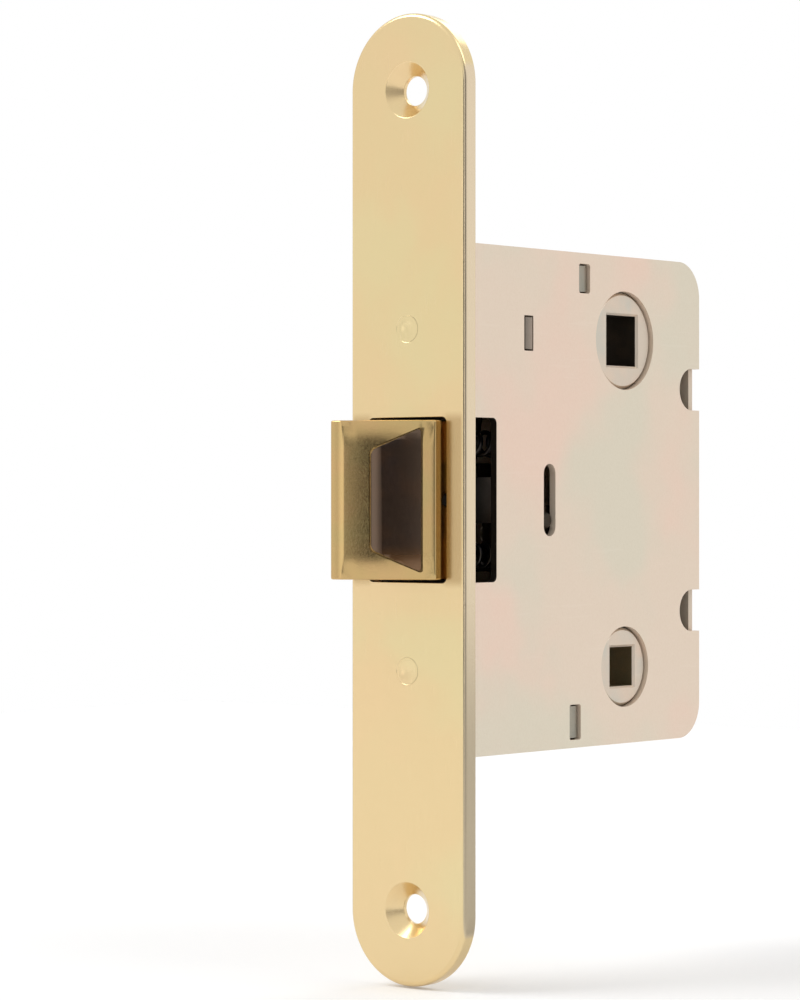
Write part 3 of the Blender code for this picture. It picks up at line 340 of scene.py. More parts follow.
def round_edges(piece, test, radius, segments):
    """Bevels the edges that pass the test, in edit mode, to a radius."""
    select_only(piece)
    bpy.ops.object.mode_set(mode="EDIT")
    choose(piece, "EDGE", test)
    bpy.ops.mesh.bevel(offset=radius, segments=segments, profile=0.5, affect="EDGES")
    bpy.ops.object.mode_set(mode="OBJECT")


def move_points(piece, test, shift):
    select_only(piece)
    bpy.ops.object.mode_set(mode="EDIT")
    choose(piece, "VERT", test)
    bpy.ops.transform.translate(value=shift)
    bpy.ops.object.mode_set(mode="OBJECT")


def combine(piece, other, operation):
    step = piece.modifiers.new(operation.lower(), "BOOLEAN")
    step.operation = operation
    step.solver = "EXACT"
    step.material_mode = "TRANSFER"
    step.object = other
    select_only(piece)
    bpy.ops.object.modifier_apply(modifier=step.name)
    bpy.data.objects.remove(other, do_unlink=True)


def cut(piece, *cutters):
    for cutter in cutters:
        combine(piece, cutter, "DIFFERENCE")


def join(piece, *others):
    for other in others:
        combine(piece, other, "UNION")


def break_edges(piece, width, segments=2):
    """Breaks every sharp edge by a small round."""
    select_only(piece)
    bpy.ops.object.mode_set(mode="EDIT")
    bpy.ops.mesh.select_all(action="SELECT")
    bpy.ops.mesh.remove_doubles(threshold=MERGE)
    bpy.ops.mesh.dissolve_limited(angle_limit=FLAT_ANGLE)
    bpy.ops.object.mode_set(mode="OBJECT")
    step = piece.modifiers.new("broken_edges", "BEVEL")
    step.width = width
    step.segments = segments
    step.limit_method = "ANGLE"
    step.angle_limit = SHARP_ANGLE
    step.use_clamp_overlap = True
    bpy.ops.object.modifier_apply(modifier=step.name)


def finish_edges(piece, width, segments=2):
    """Breaks the sharp edges, and shades the flats flat and the rounds smooth."""
    break_edges(piece, width, segments)
    shade(piece)


def shade(piece):
    select_only(piece)
    bpy.ops.object.shade_smooth_by_angle(angle=SMOOTH_ANGLE)
    step = piece.modifiers.new("even_normals", "WEIGHTED_NORMAL")
    step.keep_sharp = True
    bpy.ops.object.modifier_apply(modifier=step.name)


def paint(piece, look, test):
    """Gives the faces that pass the test the piece's material of that number."""
    select_only(piece)
    bpy.ops.object.mode_set(mode="EDIT")
    choose(piece, "FACE", test)
    piece.active_material_index = look
    bpy.ops.object.material_slot_assign()
    bpy.ops.object.mode_set(mode="OBJECT")


def within_outline(place):
    """Whether a place lies inside the case's outline by most of the sheet's thickness."""
    margin = SHEET * 0.7
    return (
        CASE_FRONT + margin < place.y < CASE_REAR - margin and abs(place.z) < CASE_TOP - margin
    )


def inside_case(face):
    """Whether a face of the sheet case looks into its hollow."""
    middle = face.calc_center_median()
    return middle.x > -CASE_INNER - GAP and within_outline(middle)


def in_hole(face):
    """Whether a face of the cover is the wall of a hole, or looks into the case."""
    middle = face.calc_center_median()
    at_rear = middle.y > CASE_REAR - CASE_REAR_RADIUS
    at_corner = at_rear and abs(middle.z) > CASE_TOP - CASE_REAR_RADIUS
    return face.normal.x < 0.5 and within_outline(middle) and not at_corner


SLOT_OF = {row["node"]: row["material_slot"] for row in frame["record"]["subparts"]}
BODY_OF = {
    node: body for body, nodes in frame["record"]["behaviour"]["bodies"].items() for node in nodes
}


def hang(piece, body, node):
    """Hangs a finished piece on its body in place of its plain solid."""
    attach(piece, body)
    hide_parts(node)


def finish(piece, body, node, *looks):
    """Gives a piece its finish and hangs it on its body."""
    piece.data.materials.clear()
    for look in looks:
        piece.data.materials.append(look)
    hang(piece, body, node)


def node_group(name, inputs, outputs):
    """An empty shader group with sockets of (name, kind, value)."""
    group = bpy.data.node_groups.new(name, "ShaderNodeTree")
    for title, kind, value in inputs:
        socket = group.interface.new_socket(name=title, in_out="INPUT", socket_type=kind)
        socket.default_value = value
    for title, kind in outputs:
        group.interface.new_socket(name=title, in_out="OUTPUT", socket_type=kind)
    return group, group.nodes.new("NodeGroupInput"), group.nodes.new("NodeGroupOutput")


def add(tree, kind, inputs=None, **settings):
    """Adds a shader node with its settings. Each input, by name or number, gets a value or the
    output that it is linked to."""
    node = tree.nodes.new(kind)
    for key, value in settings.items():
        setattr(node, key, value)
    for key, value in (inputs or {}).items():
        if isinstance(value, bpy.types.NodeSocket):
            tree.links.new(value, node.inputs[key])
        else:
            node.inputs[key].default_value = value
    return node


def maths(tree, operation, *values):
    node = add(tree, "ShaderNodeMath", dict(enumerate(values)), operation=operation)
    return node.outputs[0]


def turn_into(tree, value, span, target=(0, 1), kind="SMOOTHSTEP"):
    """Turns a value's run over one span into a run over another, smooth or LINEAR."""
    names = ("From Min", "From Max", "To Min", "To Max")
    inputs = dict(zip(names, (*span, *target)), Value=value)
    return add(tree, "ShaderNodeMapRange", inputs, interpolation_type=kind).outputs["Result"]


# The sockets of a mix node's two values and of its result, by the kind of value
MIX_SOCKETS = {"FLOAT": (2, 3, 0), "RGBA": (6, 7, 2)}


def mix(tree, share, first, second, kind="RGBA"):
    """Turns the first value into the second by a share."""
    a, b, result = MIX_SOCKETS[kind]
    inputs = {0: share, a: first, b: second}
    return add(tree, "ShaderNodeMix", inputs, data_type=kind).outputs[result]


def surface_place(tree):
    return add(tree, "ShaderNodeTexCoord").outputs["Object"]


def noise(tree, place, scale, detail, roughness=0.5):
    inputs = {"Vector": place, "Scale": scale, "Detail": detail, "Roughness": roughness}
    return add(tree, "ShaderNodeTexNoise", inputs).outputs["Fac"]


def new_look(name):
    look = bpy.data.materials.new(name)
    look.use_nodes = True
    return look, look.node_tree, look.node_tree.nodes["Principled BSDF"]


def mottle_group():
    """Soft cloudy drift between three close colours, as plating and lacquer show."""
    group, inlet, outlet = node_group(
        "cloudy_drift",
        (
            ("Main", "NodeSocketColor", (1, 1, 1, 1)),
            ("Warm", "NodeSocketColor", (1, 1, 1, 1)),
            ("Cool", "NodeSocketColor", (1, 1, 1, 1)),
            ("Scale", "NodeSocketFloat", 60.0),
            ("Amount", "NodeSocketFloat", 0.6),
        ),
        (("Color", "NodeSocketColor"),),
    )
    given = inlet.outputs
    place = surface_place(group)
    last = given["Main"]
    for name, shift in (("Warm", 0.0), ("Cool", 3.7)):
        inputs = {"Vector": place, "Location": (shift, shift, shift)}
        moved = add(group, "ShaderNodeMapping", inputs).outputs["Vector"]
        cloud = turn_into(group, noise(group, moved, given["Scale"], 3, 0.45), (0.45, 0.68))
        last = mix(group, maths(group, "MULTIPLY", cloud, given["Amount"]), last, given[name])
    group.links.new(last, outlet.inputs["Color"])
    return group


def grain_group():
    """Fine drawn lines along one direction, less a few stray scratches, as a height."""
    group, inlet, outlet = node_group(
        "drawn_grain",
        (
            ("Across", "NodeSocketVector", (9000.0, 9000.0, 150.0)),
            ("Scratches", "NodeSocketFloat", 0.5),
        ),
        (("Height", "NodeSocketFloat"),),
    )
    place = surface_place(group)
    inputs = {0: place, 1: inlet.outputs["Across"]}
    stretched = add(group, "ShaderNodeVectorMath", inputs, operation="MULTIPLY").outputs[0]
    lines = noise(group, stretched, 1.0, 4, 0.6)
    inputs = {"Vector": place, "Rotation": (0.4, 0.5, 0.3), "Scale": (1500, 60, 1100)}
    tilted = add(group, "ShaderNodeMapping", inputs).outputs["Vector"]
    scratch = turn_into(group, noise(group, tilted, 1.0, 2), (0.66, 0.74))
    depth = maths(group, "MULTIPLY", scratch, inlet.outputs["Scratches"])
    group.links.new(maths(group, "SUBTRACT", lines, depth), outlet.inputs["Height"])
    return group


CLOUDY = mottle_group()
GRAIN = grain_group()
# Height of the finishes' grain
RELIEF = 0.00002


def cloud_over(tree, shader, colours, scale, amount):
    """Drives a shader's colour by the cloudy drift between three colours."""
    inputs = {"Scale": scale, "Amount": amount}
    for name, colour in zip(("Main", "Warm", "Cool"), colours):
        inputs[name] = (*colour, 1)
    cloud = add(tree, "ShaderNodeGroup", inputs, node_tree=CLOUDY)
    tree.links.new(cloud.outputs["Color"], shader.inputs["Base Color"])


def roughen(tree, shader, height, roughness, bump):
    """Drives a shader's roughness and a shallow bump by one height."""
    rough = turn_into(tree, height, (0.3, 0.7), roughness, "LINEAR")
    tree.links.new(rough, shader.inputs["Roughness"])
    inputs = {"Height": height, "Strength": bump, "Distance": RELIEF}
    relief = add(tree, "ShaderNodeBump", inputs)
    tree.links.new(relief.outputs["Normal"], shader.inputs["Normal"])


def metal(name, colours, scale, amount, roughness, across, bump, scratches, metallic=1.0):
    """A metal finish of three cloudy colours, with drawn grain in its roughness and bump."""
    look, tree, shader = new_look(name)
    shader.inputs["Metallic"].default_value = metallic
    cloud_over(tree, shader, colours, scale, amount)
    inputs = {"Across": across, "Scratches": scratches}
    grain = add(tree, "ShaderNodeGroup", inputs, node_tree=GRAIN)
    roughen(tree, shader, grain.outputs["Height"], roughness, bump)
    return look


def own_place(tree, axis):
    """A surface's place along one axis of the lock."""
    return add(tree, "ShaderNodeSeparateXYZ", {0: surface_place(tree)}).outputs[axis]


def distance(tree, axis):
    """A surface's distance from the lock's middle along one axis."""
    return maths(tree, "ABSOLUTE", own_place(tree, axis))


def tint(look, mask, colour):
    """Lays a colour over a finish where the mask is 1."""
    tree = look.node_tree
    target = tree.nodes["Principled BSDF"].inputs["Base Color"]
    tree.links.new(mix(tree, mask, target.links[0].from_socket, (*colour, 1)), target)


def soft_step(tree, value, first, last):
    """0 at the first value and 1 at the last, with a smooth turn between them."""
    if first < last:
        return turn_into(tree, value, (first, last))
    return turn_into(tree, value, (last, first), (1, 0))


def shade_between(look, axis, span, colour):
    """Darkens a finish from the span's far end to its near end."""
    tree = look.node_tree
    tint(look, soft_step(tree, own_place(tree, axis), span[1], span[0]), colour)


# The painted shadow beside the latch, a brown tone that stands in for the shade the latch casts on
# the faceplate: how strong it is, and its edges as the axis, where it is nothing and where it is
# full
LATCH_SHADOW_SHARE = 0.75
LATCH_SHADOW_EDGES = (("X", 0.0072, 0.0088), ("X", 0.0122, 0.0114), ("Z", 0.0152, 0.0132))


def paint_shadow_beside_latch(look):
    """A soft brown painted shadow on the faceplate to both sides of the latch's opening, where the
    latch shades it.
    """
    tree = look.node_tree
    share = LATCH_SHADOW_SHARE
    for axis, first, last in LATCH_SHADOW_EDGES:
        share = maths(tree, "MULTIPLY", share, soft_step(tree, distance(tree, axis), first, last))
    tint(look, share, (0.50, 0.345, 0.165))


def paint_light_on_plate_sides(look):
    """Painted light and shade on the faceplate's thin sides: a painted highlight that makes them
    paler than the front, and painted shade from the latch down.
    """
    tree = look.node_tree
    side = soft_step(tree, distance(tree, "X"), 0.0119, 0.0123)
    tint(look, side, (0.75, 0.62, 0.44))
    low = soft_step(tree, own_place(tree, "Z"), -0.008, -0.046)
    tint(look, maths(tree, "MULTIPLY", side, low), (0.465, 0.39, 0.275))


def nylon(name):
    """Black moulded nylon with a fine spark-eroded grain and rubbed sheen."""
    look, tree, shader = new_look(name)
    shader.inputs["IOR"].default_value = 1.62
    shader.inputs["Specular IOR Level"].default_value = 1.0
    shader.inputs["Specular Tint"].default_value = (1.0, 0.70, 0.50, 1)
    colours = ((0.016, 0.009, 0.006), (0.030, 0.013, 0.006), (0.012, 0.009, 0.010))
    cloud_over(tree, shader, colours, 220, 0.7)
    roughen(tree, shader, noise(tree, surface_place(tree), 5200, 3), (0.13, 0.21), 0.12)
    return look


# Each metal's name, its main, warm and cool colour, and then how fine and how strong its clouds
# are, its roughness, its grain's fineness along X, Y and Z, its bump, its scratches and, for the
# inside finish with its painted shade, how metallic it is
BRASS = metal(
    "lacquered_brass", ((0.785, 0.605, 0.335), (0.82, 0.60, 0.34), (0.75, 0.65, 0.36)),
    48, 0.55, (0.18, 0.28), (9000, 9000, 140), 0.2, 0.3,
)
# Painted shadow on the faceplate beside the latch
paint_shadow_beside_latch(BRASS)
# Painted highlight and shade on the faceplate's thin sides
paint_light_on_plate_sides(BRASS)
LATCH_BRASS = metal(
    "latch_brass", ((0.56, 0.39, 0.17), (0.60, 0.38, 0.18), (0.50, 0.39, 0.17)),
    130, 0.6, (0.14, 0.24), (5200, 5200, 2600), 0.25, 0.15,
)
ZINC = metal(
    "zinc_plate", ((0.77, 0.645, 0.525), (0.82, 0.62, 0.51), (0.70, 0.655, 0.53)),
    42, 0.75, (0.34, 0.52), (3000, 3000, 2200), 0.35, 0.45,
)
HUB_ZINC = metal(
    "cast_zinc", ((0.67, 0.58, 0.48), (0.73, 0.59, 0.47), (0.58, 0.56, 0.49)),
    160, 0.7, (0.36, 0.55), (4200, 4200, 4200), 0.45, 0.3,
)
STEEL = metal(
    "oiled_steel", ((0.075, 0.06, 0.045), (0.10, 0.07, 0.045), (0.055, 0.052, 0.045)),
    160, 0.7, (0.30, 0.48), (2600, 2600, 6200), 0.35, 0.6,
)
SPRING_STEEL = metal(
    "spring_wire", ((0.12, 0.12, 0.12), (0.15, 0.12, 0.10), (0.10, 0.105, 0.12)),
    300, 0.7, (0.28, 0.44), (5000, 5000, 5000), 0.3, 0.3,
)
# Dark steel for inner pieces, also used as the painted shade on the follower square's walls
DARK_STEEL_AND_SQUARE_SHADE = metal(
    "blackened_steel_and_square_shade", ((0.055, 0.042, 0.030), (0.08, 0.055, 0.035), (0.04, 0.04, 0.034)),
    260, 0.7, (0.45, 0.68), (4200, 4200, 4200), 0.5, 0.5,
)
# A brown painted shade for the privacy hub square's walls
PRIVACY_SQUARE_SHADE = metal(
    "privacy_square_painted_shade", ((0.26, 0.20, 0.11), (0.30, 0.21, 0.11), (0.22, 0.19, 0.11)),
    260, 0.7, (0.45, 0.68), (4200, 4200, 4200), 0.5, 0.5,
)
PILLAR_STEEL = metal(
    "turned_steel", ((0.36, 0.33, 0.27), (0.42, 0.34, 0.26), (0.30, 0.30, 0.26)),
    160, 0.7, (0.32, 0.50), (2600, 2600, 6200), 0.35, 0.5,
)
# The case's inside finish: zinc with painted shade, near black towards the front of the case where
# the hollow lies in shade
INSIDE_SHADED_ZINC = metal(
    "zinc_with_painted_inner_shade", ((0.76, 0.62, 0.49), (0.80, 0.62, 0.48), (0.70, 0.60, 0.48)),
    90, 0.8, (0.38, 0.6), (3000, 3000, 2200), 0.4, 0.3, 0.2,
)
shade_between(INSIDE_SHADED_ZINC, "Y", (0.016, 0.030), (0.012, 0.009, 0.007))
NYLON = nylon("black_nylon")
# Painted reflection: the insert turns warm brown towards its bottom, as if reflecting the brass
# below it
shade_between(NYLON, "Z", (-0.0115, -0.0070), (0.105, 0.042, 0.008))
LOOK_OF_SLOT = {
    "brass": BRASS,
    "latch_brass": LATCH_BRASS,
    "zinc_plate": ZINC,
    "oiled_steel": STEEL,
    "spring_steel": SPRING_STEEL,
    "dark_steel": DARK_STEEL_AND_SQUARE_SHADE,
    "black_nylon": NYLON,
}


def make_faceplate():
    low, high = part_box("faceplate")
    radius = high.x
    straight = high.z - radius
    sides = 144
    bpy.ops.object.select_all(action="DESELECT")
    bpy.ops.mesh.primitive_cylinder_add(
        vertices=sides,
        radius=radius,
        depth=PLATE_THICKNESS,
        location=(0, PLATE_THICKNESS / 2, 0),
        rotation=(math.pi / 2, math.pi / sides, 0),
    )
    plate = newest("brass_faceplate")
    move_points(plate, lambda v: v.co.z > 0, (0, 0, straight))
    move_points(plate, lambda v: v.co.z < 0, (0, 0, -straight))
    round_edges(plate, lambda e: max(v.co.y for v in e.verts) < NEAR, PLATE_EDGE, 6)
    back = PLATE_THICKNESS - NEAR
    round_edges(plate, lambda e: min(v.co.y for v in e.verts) > back, PLATE_BACK_EDGE, 2)
    through = PLATE_THICKNESS + PAST
    half = LATCH_HALF_WIDTH + LATCH_PLAY
    opening = block("opening", (-half, -PAST, -OPENING_HALF), (half, through, OPENING_HALF))
    round_edges(opening, lambda e: runs_along(e, 1), OPENING_CORNER, 6)
    cutters = [opening]
    sink = SCREW_SINK - SCREW_BORE
    rivet_bore = RIVET_RADIUS + RIVET_SEAT_GAP
    rivet_sink = RIVET_HEAD - RIVET_RADIUS
    for side in (-1, 1):
        profile = ((-PAST, SCREW_SINK + PAST), (sink, SCREW_BORE), (through, SCREW_BORE))
        cutters.append(turned("sink", "Y", (0, 0, side * SCREW_Z), profile))
        mouth = (-PAST, rivet_bore + rivet_sink + PAST)
        profile = (mouth, (rivet_sink, rivet_bore), (through, rivet_bore))
        cutters.append(turned("seat", "Y", (0, 0, side * RIVET_Z), profile, 48))
    cut(plate, *cutters)
    finish_edges(plate, PLATE_BREAK)
    finish(plate, "case", "faceplate", BRASS)


def make_faceplate_rivets():
    tail = CASE_FRONT + SHEET + GAP
    sink = RIVET_HEAD - RIVET_RADIUS
    for name, side in (("upper", 1), ("lower", -1)):
        profile = (
            *RIVET_DISH,
            (RIVET_RIM_DEPTH, RIVET_HEAD * RIVET_RIM_START),
            (RIVET_RIM_DEPTH, RIVET_HEAD),
            (sink, RIVET_RADIUS),
            (tail, RIVET_RADIUS),
            (tail, RIVET_HEAD),
            (tail + RIVET_TAIL * RIVET_TAIL_SHOULDER, RIVET_HEAD),
            (tail + RIVET_TAIL, RIVET_HEAD * RIVET_TAIL_END),
        )
        rivet = turned(f"brass_rivet_{name}", "Y", (0, 0, side * RIVET_Z), profile, 64)
        finish_edges(rivet, RIVET_BREAK)
        finish(rivet, "case", f"faceplate_rivet_{name}", BRASS)


def sheet_block(name, low_x, high_x):
    """A block with the case's outline: small rounds at the front, wide ones at the rear."""
    made = block(name, (low_x, CASE_FRONT, -CASE_TOP), (high_x, CASE_REAR, CASE_TOP))
    middle = (CASE_FRONT + CASE_REAR) / 2
    round_edges(
        made, lambda e: runs_along(e, 0) and middle_of(e).y < middle, CASE_FRONT_RADIUS, 6
    )
    round_edges(
        made,
        lambda e: runs_along(e, 0) and middle_of(e).y > middle and e.calc_face_angle(0) > 1,
        CASE_REAR_RADIUS,
        18,
    )
    return made


def window_cutter(low_x):
    low = (low_x, CASE_FRONT - PAST, -OPENING_HALF)
    window = block("window", low, (2 * CASE_HALF, WINDOW_REAR, OPENING_HALF))
    round_edges(
        window, lambda e: runs_along(e, 0) and middle_of(e).y > CASE_FRONT, OPENING_CORNER, 6
    )
    return window


def bore(y, z, radius, low, high, sides=96):
    return turned("bore", "X", (0, y, z), ((low, radius), (high, radius)), sides)


def rounded_block(y, z, half_width, half_height, low, high, corner, segments=8):
    far_corner = (high, y + half_width, z + half_height)
    hole = block("hole", (low, y - half_width, z - half_height), far_corner)
    round_edges(hole, lambda e: runs_along(e, 0), corner, segments)
    return hole


def make_case_cover():
    cover = sheet_block("zinc_cover", CASE_INNER, CASE_HALF)
    root = CASE_INNER + SHEET / 2
    join(cover, bore(GUIDE_Y, GUIDE_Z, GUIDE_RADIUS, SNIB_LOW - LAYER_GAP, root, 48))
    seat = SNIB_SPRING[1] + GAP
    near_corner = (SNIB_LOW, SNIB_SPRING_Y - SNIB_SEAT_HALF, seat)
    far_corner = (root, SNIB_SPRING_Y + SNIB_SEAT_HALF, seat + SHEET)
    join(cover, block("seat", near_corner, far_corner))
    low = WALL_TOP - PAST
    high = CASE_HALF + PAST
    holes = [
        window_cutter(low),
        bore(HUB_Y, HUB_Z, FOLLOWER_RADIUS + GAP, low, high, 144),
        bore(HUB_Y, PRIVACY_Z, PRIVACY_RADIUS + GAP, low, high, 128),
        rounded_block(
            SLOT_Y, 0, SLOT_HALF_WIDTH, SLOT_HALF_LENGTH, low, high, SLOT_HALF_WIDTH * FULL_ROUND
        ),
        rounded_block(
            LUG_Y, LUG_Z, LUG_HALF + GAP, LUG_TENON_HALF + GAP, low, high, LUG_HOLE_CORNER
        ),
    ]
    half_width = TENON_HALF_WIDTH + GAP
    for _, y, z, half_height in PILLARS:
        holes.append(rounded_block(y, z, half_width, half_height + GAP, low, high, TENON_CORNER))
    corner = NOTCH_RADIUS * FULL_ROUND
    for z in (-NOTCH_Z, NOTCH_Z):
        holes.append(rounded_block(CASE_REAR, z, NOTCH_DEPTH, NOTCH_RADIUS, low, high, corner, 16))
    cut(cover, *holes)
    finish_edges(cover, COVER_BREAK, 3)
    finish(cover, "case", "case_cover", ZINC, INSIDE_SHADED_ZINC)
    # The cover's hole walls and inner face take the inside finish with its painted shade
    paint(cover, 1, in_hole)


def make_case_tray():
    tray = sheet_block("zinc_tray", -CASE_HALF, WALL_TOP)
    bpy.ops.object.mode_set(mode="EDIT")
    choose(tray, "FACE", lambda f: f.normal.x > 0.9)
    bpy.ops.mesh.inset(thickness=SHEET, use_even_offset=True)
    bpy.ops.mesh.extrude_region_move(
        TRANSFORM_OT_translate={"value": (-WALL_TOP - CASE_INNER, 0, 0)}
    )
    bpy.ops.object.mode_set(mode="OBJECT")
    side = -CASE_HALF + NEAR
    round_edges(tray, lambda e: max(v.co.x for v in e.verts) < side, TRAY_BEND, 5)
    root = -CASE_INNER - SHEET / 2
    seat = RETURN_SPRING[1] + GAP
    join(
        tray,
        block(
            "seat",
            (root, seat, RETURN_SPRING_Z - RETURN_SEAT_HALF),
            (RETURN_SPRING_X + RETURN_SPRING[2], seat + SHEET, RETURN_SPRING_Z + RETURN_SEAT_HALF),
        ),
        block(
            "lug",
            (root, LUG_Y - LUG_HALF, LUG_Z - LUG_HALF_HEIGHT),
            (WALL_TOP, LUG_Y + LUG_HALF, LUG_Z + LUG_HALF_HEIGHT),
        ),
        block(
            "tenon",
            (WALL_TOP - PAST, LUG_Y - LUG_HALF, LUG_Z - LUG_TENON_HALF),
            (CASE_HALF, LUG_Y + LUG_HALF, LUG_Z + LUG_TENON_HALF),
        ),
    )
    low = -CASE_HALF - PAST
    high = -CASE_INNER + PAST
    holes = [
        window_cutter(-CASE_INNER),
        bore(HUB_Y, HUB_Z, FOLLOWER_RADIUS + GAP, low, high, 144),
        bore(HUB_Y, PRIVACY_Z, PRIVACY_RADIUS + GAP, low, high, 128),
        bore(CRANK_POST_Y, LUG_Z, CRANK_POST_NECK + GAP, low, high, 48),
        bore(SPIGOT_Y, SPIGOT_Z, SPIGOT_RADIUS + GAP, low, high, 48),
    ]
    for _, y, z, _ in PILLARS:
        holes.append(bore(y, z, PILLAR_NECK + GAP, low, high, 48))
    radius = RIVET_RADIUS + GAP
    profile = ((CASE_FRONT - PAST, radius), (CASE_FRONT + SHEET + PAST, radius))
    for side in (-1, 1):
        holes.append(turned("bore", "Y", (0, 0, side * RIVET_Z), profile, 48))
    cut(tray, *holes)
    finish_edges(tray, TRAY_BREAK)
    finish(tray, "case", "case_tray", ZINC, INSIDE_SHADED_ZINC)
    # The tray's inner faces take the inside finish with its painted shade
    paint(tray, 1, inside_case)


def make_pillars():
    shoulder = CASE_INNER - GAP
    for node, y, z, half_height in PILLARS:
        profile = (
            (-CASE_HALF - PILLAR_STAKE, PILLAR_NECK * PILLAR_STAKE_END),
            (-CASE_HALF, PILLAR_NECK),
            (-shoulder, PILLAR_NECK),
            (-shoulder, PILLAR_RADIUS),
            (shoulder, PILLAR_RADIUS),
        )
        pillar = turned(f"turned_{node}", "X", (0, y, z), profile, 64)
        low = shoulder - PILLAR_RADIUS
        high = CASE_HALF - TENON_RECESS
        join(pillar, rounded_block(y, z, TENON_HALF_WIDTH, half_height, low, high, TENON_CORNER))
        finish_edges(pillar, PILLAR_BREAK)
        finish(pillar, "case", node, PILLAR_STEEL)


def square_cutter(z, half, wall):
    """A cutter for a hub's square that widens to a chamfer at both faces; it gives the square's
    walls a painted dark shade.
    """
    depth = HUB_FACE - SQUARE_CHAMFER
    flare = SQUARE_CHAMFER + PAST
    cutter = block("square", (-depth, HUB_Y - half, z - half), (depth, HUB_Y + half, z + half))
    cutter.data.materials.append(HUB_ZINC)
    cutter.data.materials.append(wall)
    bpy.ops.object.mode_set(mode="EDIT")
    for side in (-1, 1):
        choose(cutter, "FACE", lambda f: f.normal.x * side > 0.9)
        bpy.ops.mesh.extrude_region_move(TRANSFORM_OT_translate={"value": (side * flare, 0, 0)})
        share = (half + flare) / half
        bpy.ops.transform.resize(value=(1, share, share), center_override=(0, HUB_Y, z))
    bpy.ops.object.mode_set(mode="OBJECT")
    paint(cutter, 1, lambda f: abs(f.calc_center_median().x) < depth)
    return cutter


def make_follower():
    profile = (
        (-HUB_FACE, FOLLOWER_RADIUS - HUB_CHAMFER),
        (-HUB_FACE + HUB_CHAMFER, FOLLOWER_RADIUS),
        (FOLLOWER_FLANGE_BACK, FOLLOWER_RADIUS),
        (FOLLOWER_FLANGE_BACK, FOLLOWER_FLANGE),
        (SNIB_HIGH, FOLLOWER_FLANGE),
        (SNIB_HIGH, FOLLOWER_RADIUS),
        (HUB_FACE - HUB_CHAMFER, FOLLOWER_RADIUS),
        (HUB_FACE, FOLLOWER_RADIUS - HUB_CHAMFER),
    )
    hub = turned("cast_follower", "X", (0, HUB_Y, HUB_Z), profile, 144)
    hub.data.materials.append(HUB_ZINC)
    inward = Vector((0, math.cos(FINGER_REST), math.sin(FINGER_REST)))
    tip = Vector((0, HUB_Y, HUB_Z)) - inward * FINGER_REACH
    finger = block(
        "finger",
        (LEVER_LOW, FINGER_SPAN[0], -FINGER_HALF_WIDTH),
        (LEVER_HIGH, FINGER_SPAN[1], FINGER_HALF_WIDTH),
    )
    settle(finger, Matrix.Translation(tip) @ Matrix.Rotation(FINGER_REST, 4, "X"))
    join(hub, finger, bore(tip.y, tip.z, FINGER_TIP_RADIUS, LEVER_LOW, LEVER_HIGH, 48))
    # The follower's square walls get a near-black painted shade
    cut(hub, square_cutter(HUB_Z, FOLLOWER_HALF_SQUARE, DARK_STEEL_AND_SQUARE_SHADE))
    finish_edges(hub, HUB_BREAK)
    hang(hub, "lever_follower", "follower")


def make_privacy_hub():
    flange_low = LEVER_HIGH - PRIVACY_FLANGE_OVERLAP
    flange_high = SNIB_LOW + PRIVACY_FLANGE_OVERLAP
    profile = (
        (-HUB_FACE, PRIVACY_RADIUS - HUB_CHAMFER),
        (-HUB_FACE + HUB_CHAMFER, PRIVACY_RADIUS),
        (flange_low, PRIVACY_RADIUS),
        (flange_low, PRIVACY_FLANGE),
        (flange_high, PRIVACY_FLANGE),
        (flange_high, PRIVACY_RADIUS),
        (HUB_FACE - HUB_CHAMFER, PRIVACY_RADIUS),
        (HUB_FACE, PRIVACY_RADIUS - HUB_CHAMFER),
    )
    hub = turned("cast_privacy_hub", "X", (0, HUB_Y, PRIVACY_Z), profile, 128)
    hub.data.materials.append(HUB_ZINC)
    detent = rounded_block(
        HUB_Y, PRIVACY_Z, DETENT_HALF, DETENT_HALF, LEVER_LOW, LEVER_HIGH, DETENT_CORNER, 6
    )
    cam = bore(HUB_Y, PRIVACY_Z, CAM_RADIUS, SNIB_LOW, SNIB_HIGH, 144)
    shape_snail(cam)
    join(hub, detent, cam)
    # The privacy hub's square walls get a brown painted shade
    cut(hub, square_cutter(PRIVACY_Z, PRIVACY_HALF_SQUARE, PRIVACY_SQUARE_SHADE))
    finish_edges(hub, HUB_BREAK)
    hang(hub, "privacy_turn_hub", "privacy_hub")


def snail_rim(angle):
    """The snail cam's rim at an angle about the hub: a spiral that lifts the foot evenly."""
    foot = SNIB_FOOT + GAP
    rise = SNIB_LIFT / (math.pi / 2)
    out = Vector((0, math.cos(angle), math.sin(angle)))
    around = Vector((0, -math.sin(angle), math.cos(angle)))
    if 0 <= angle <= math.pi / 2:
        reach = out * (CAM_RADIUS + foot + rise * (math.pi / 2 - angle))
        return reach - (reach + around * rise).normalized() * foot
    if -CAM_FLANK < angle < 0:
        return out * (CAM_RADIUS + SNIB_LIFT * (1 + angle / CAM_FLANK))
    return out * CAM_RADIUS


def shape_snail(cam):
    """Moves the rim of the cam's disc out to the snail's rim, point by point."""
    centre = Vector((0, HUB_Y, PRIVACY_Z))
    select_only(cam)
    rims = sorted({(round(v.co.y, 7), round(v.co.z, 7)) for v in cam.data.vertices})
    for y, z in rims:
        here = Vector((0, y, z)) - centre
        shift = snail_rim(math.atan2(here.z, here.y)) - here
        if shift.length > MERGE:
            move_points(
                cam,
                lambda v: abs(v.co.y - y) < 2 * ON_PLANE and abs(v.co.z - z) < 2 * ON_PLANE,
                shift,
            )


def bevel_ends():
    start = Vector((-LATCH_HALF_WIDTH + LATCH_NOSE, -LATCH_REACH, 0))
    return start, Vector((LATCH_HALF_WIDTH, -LATCH_SIDE, 0))


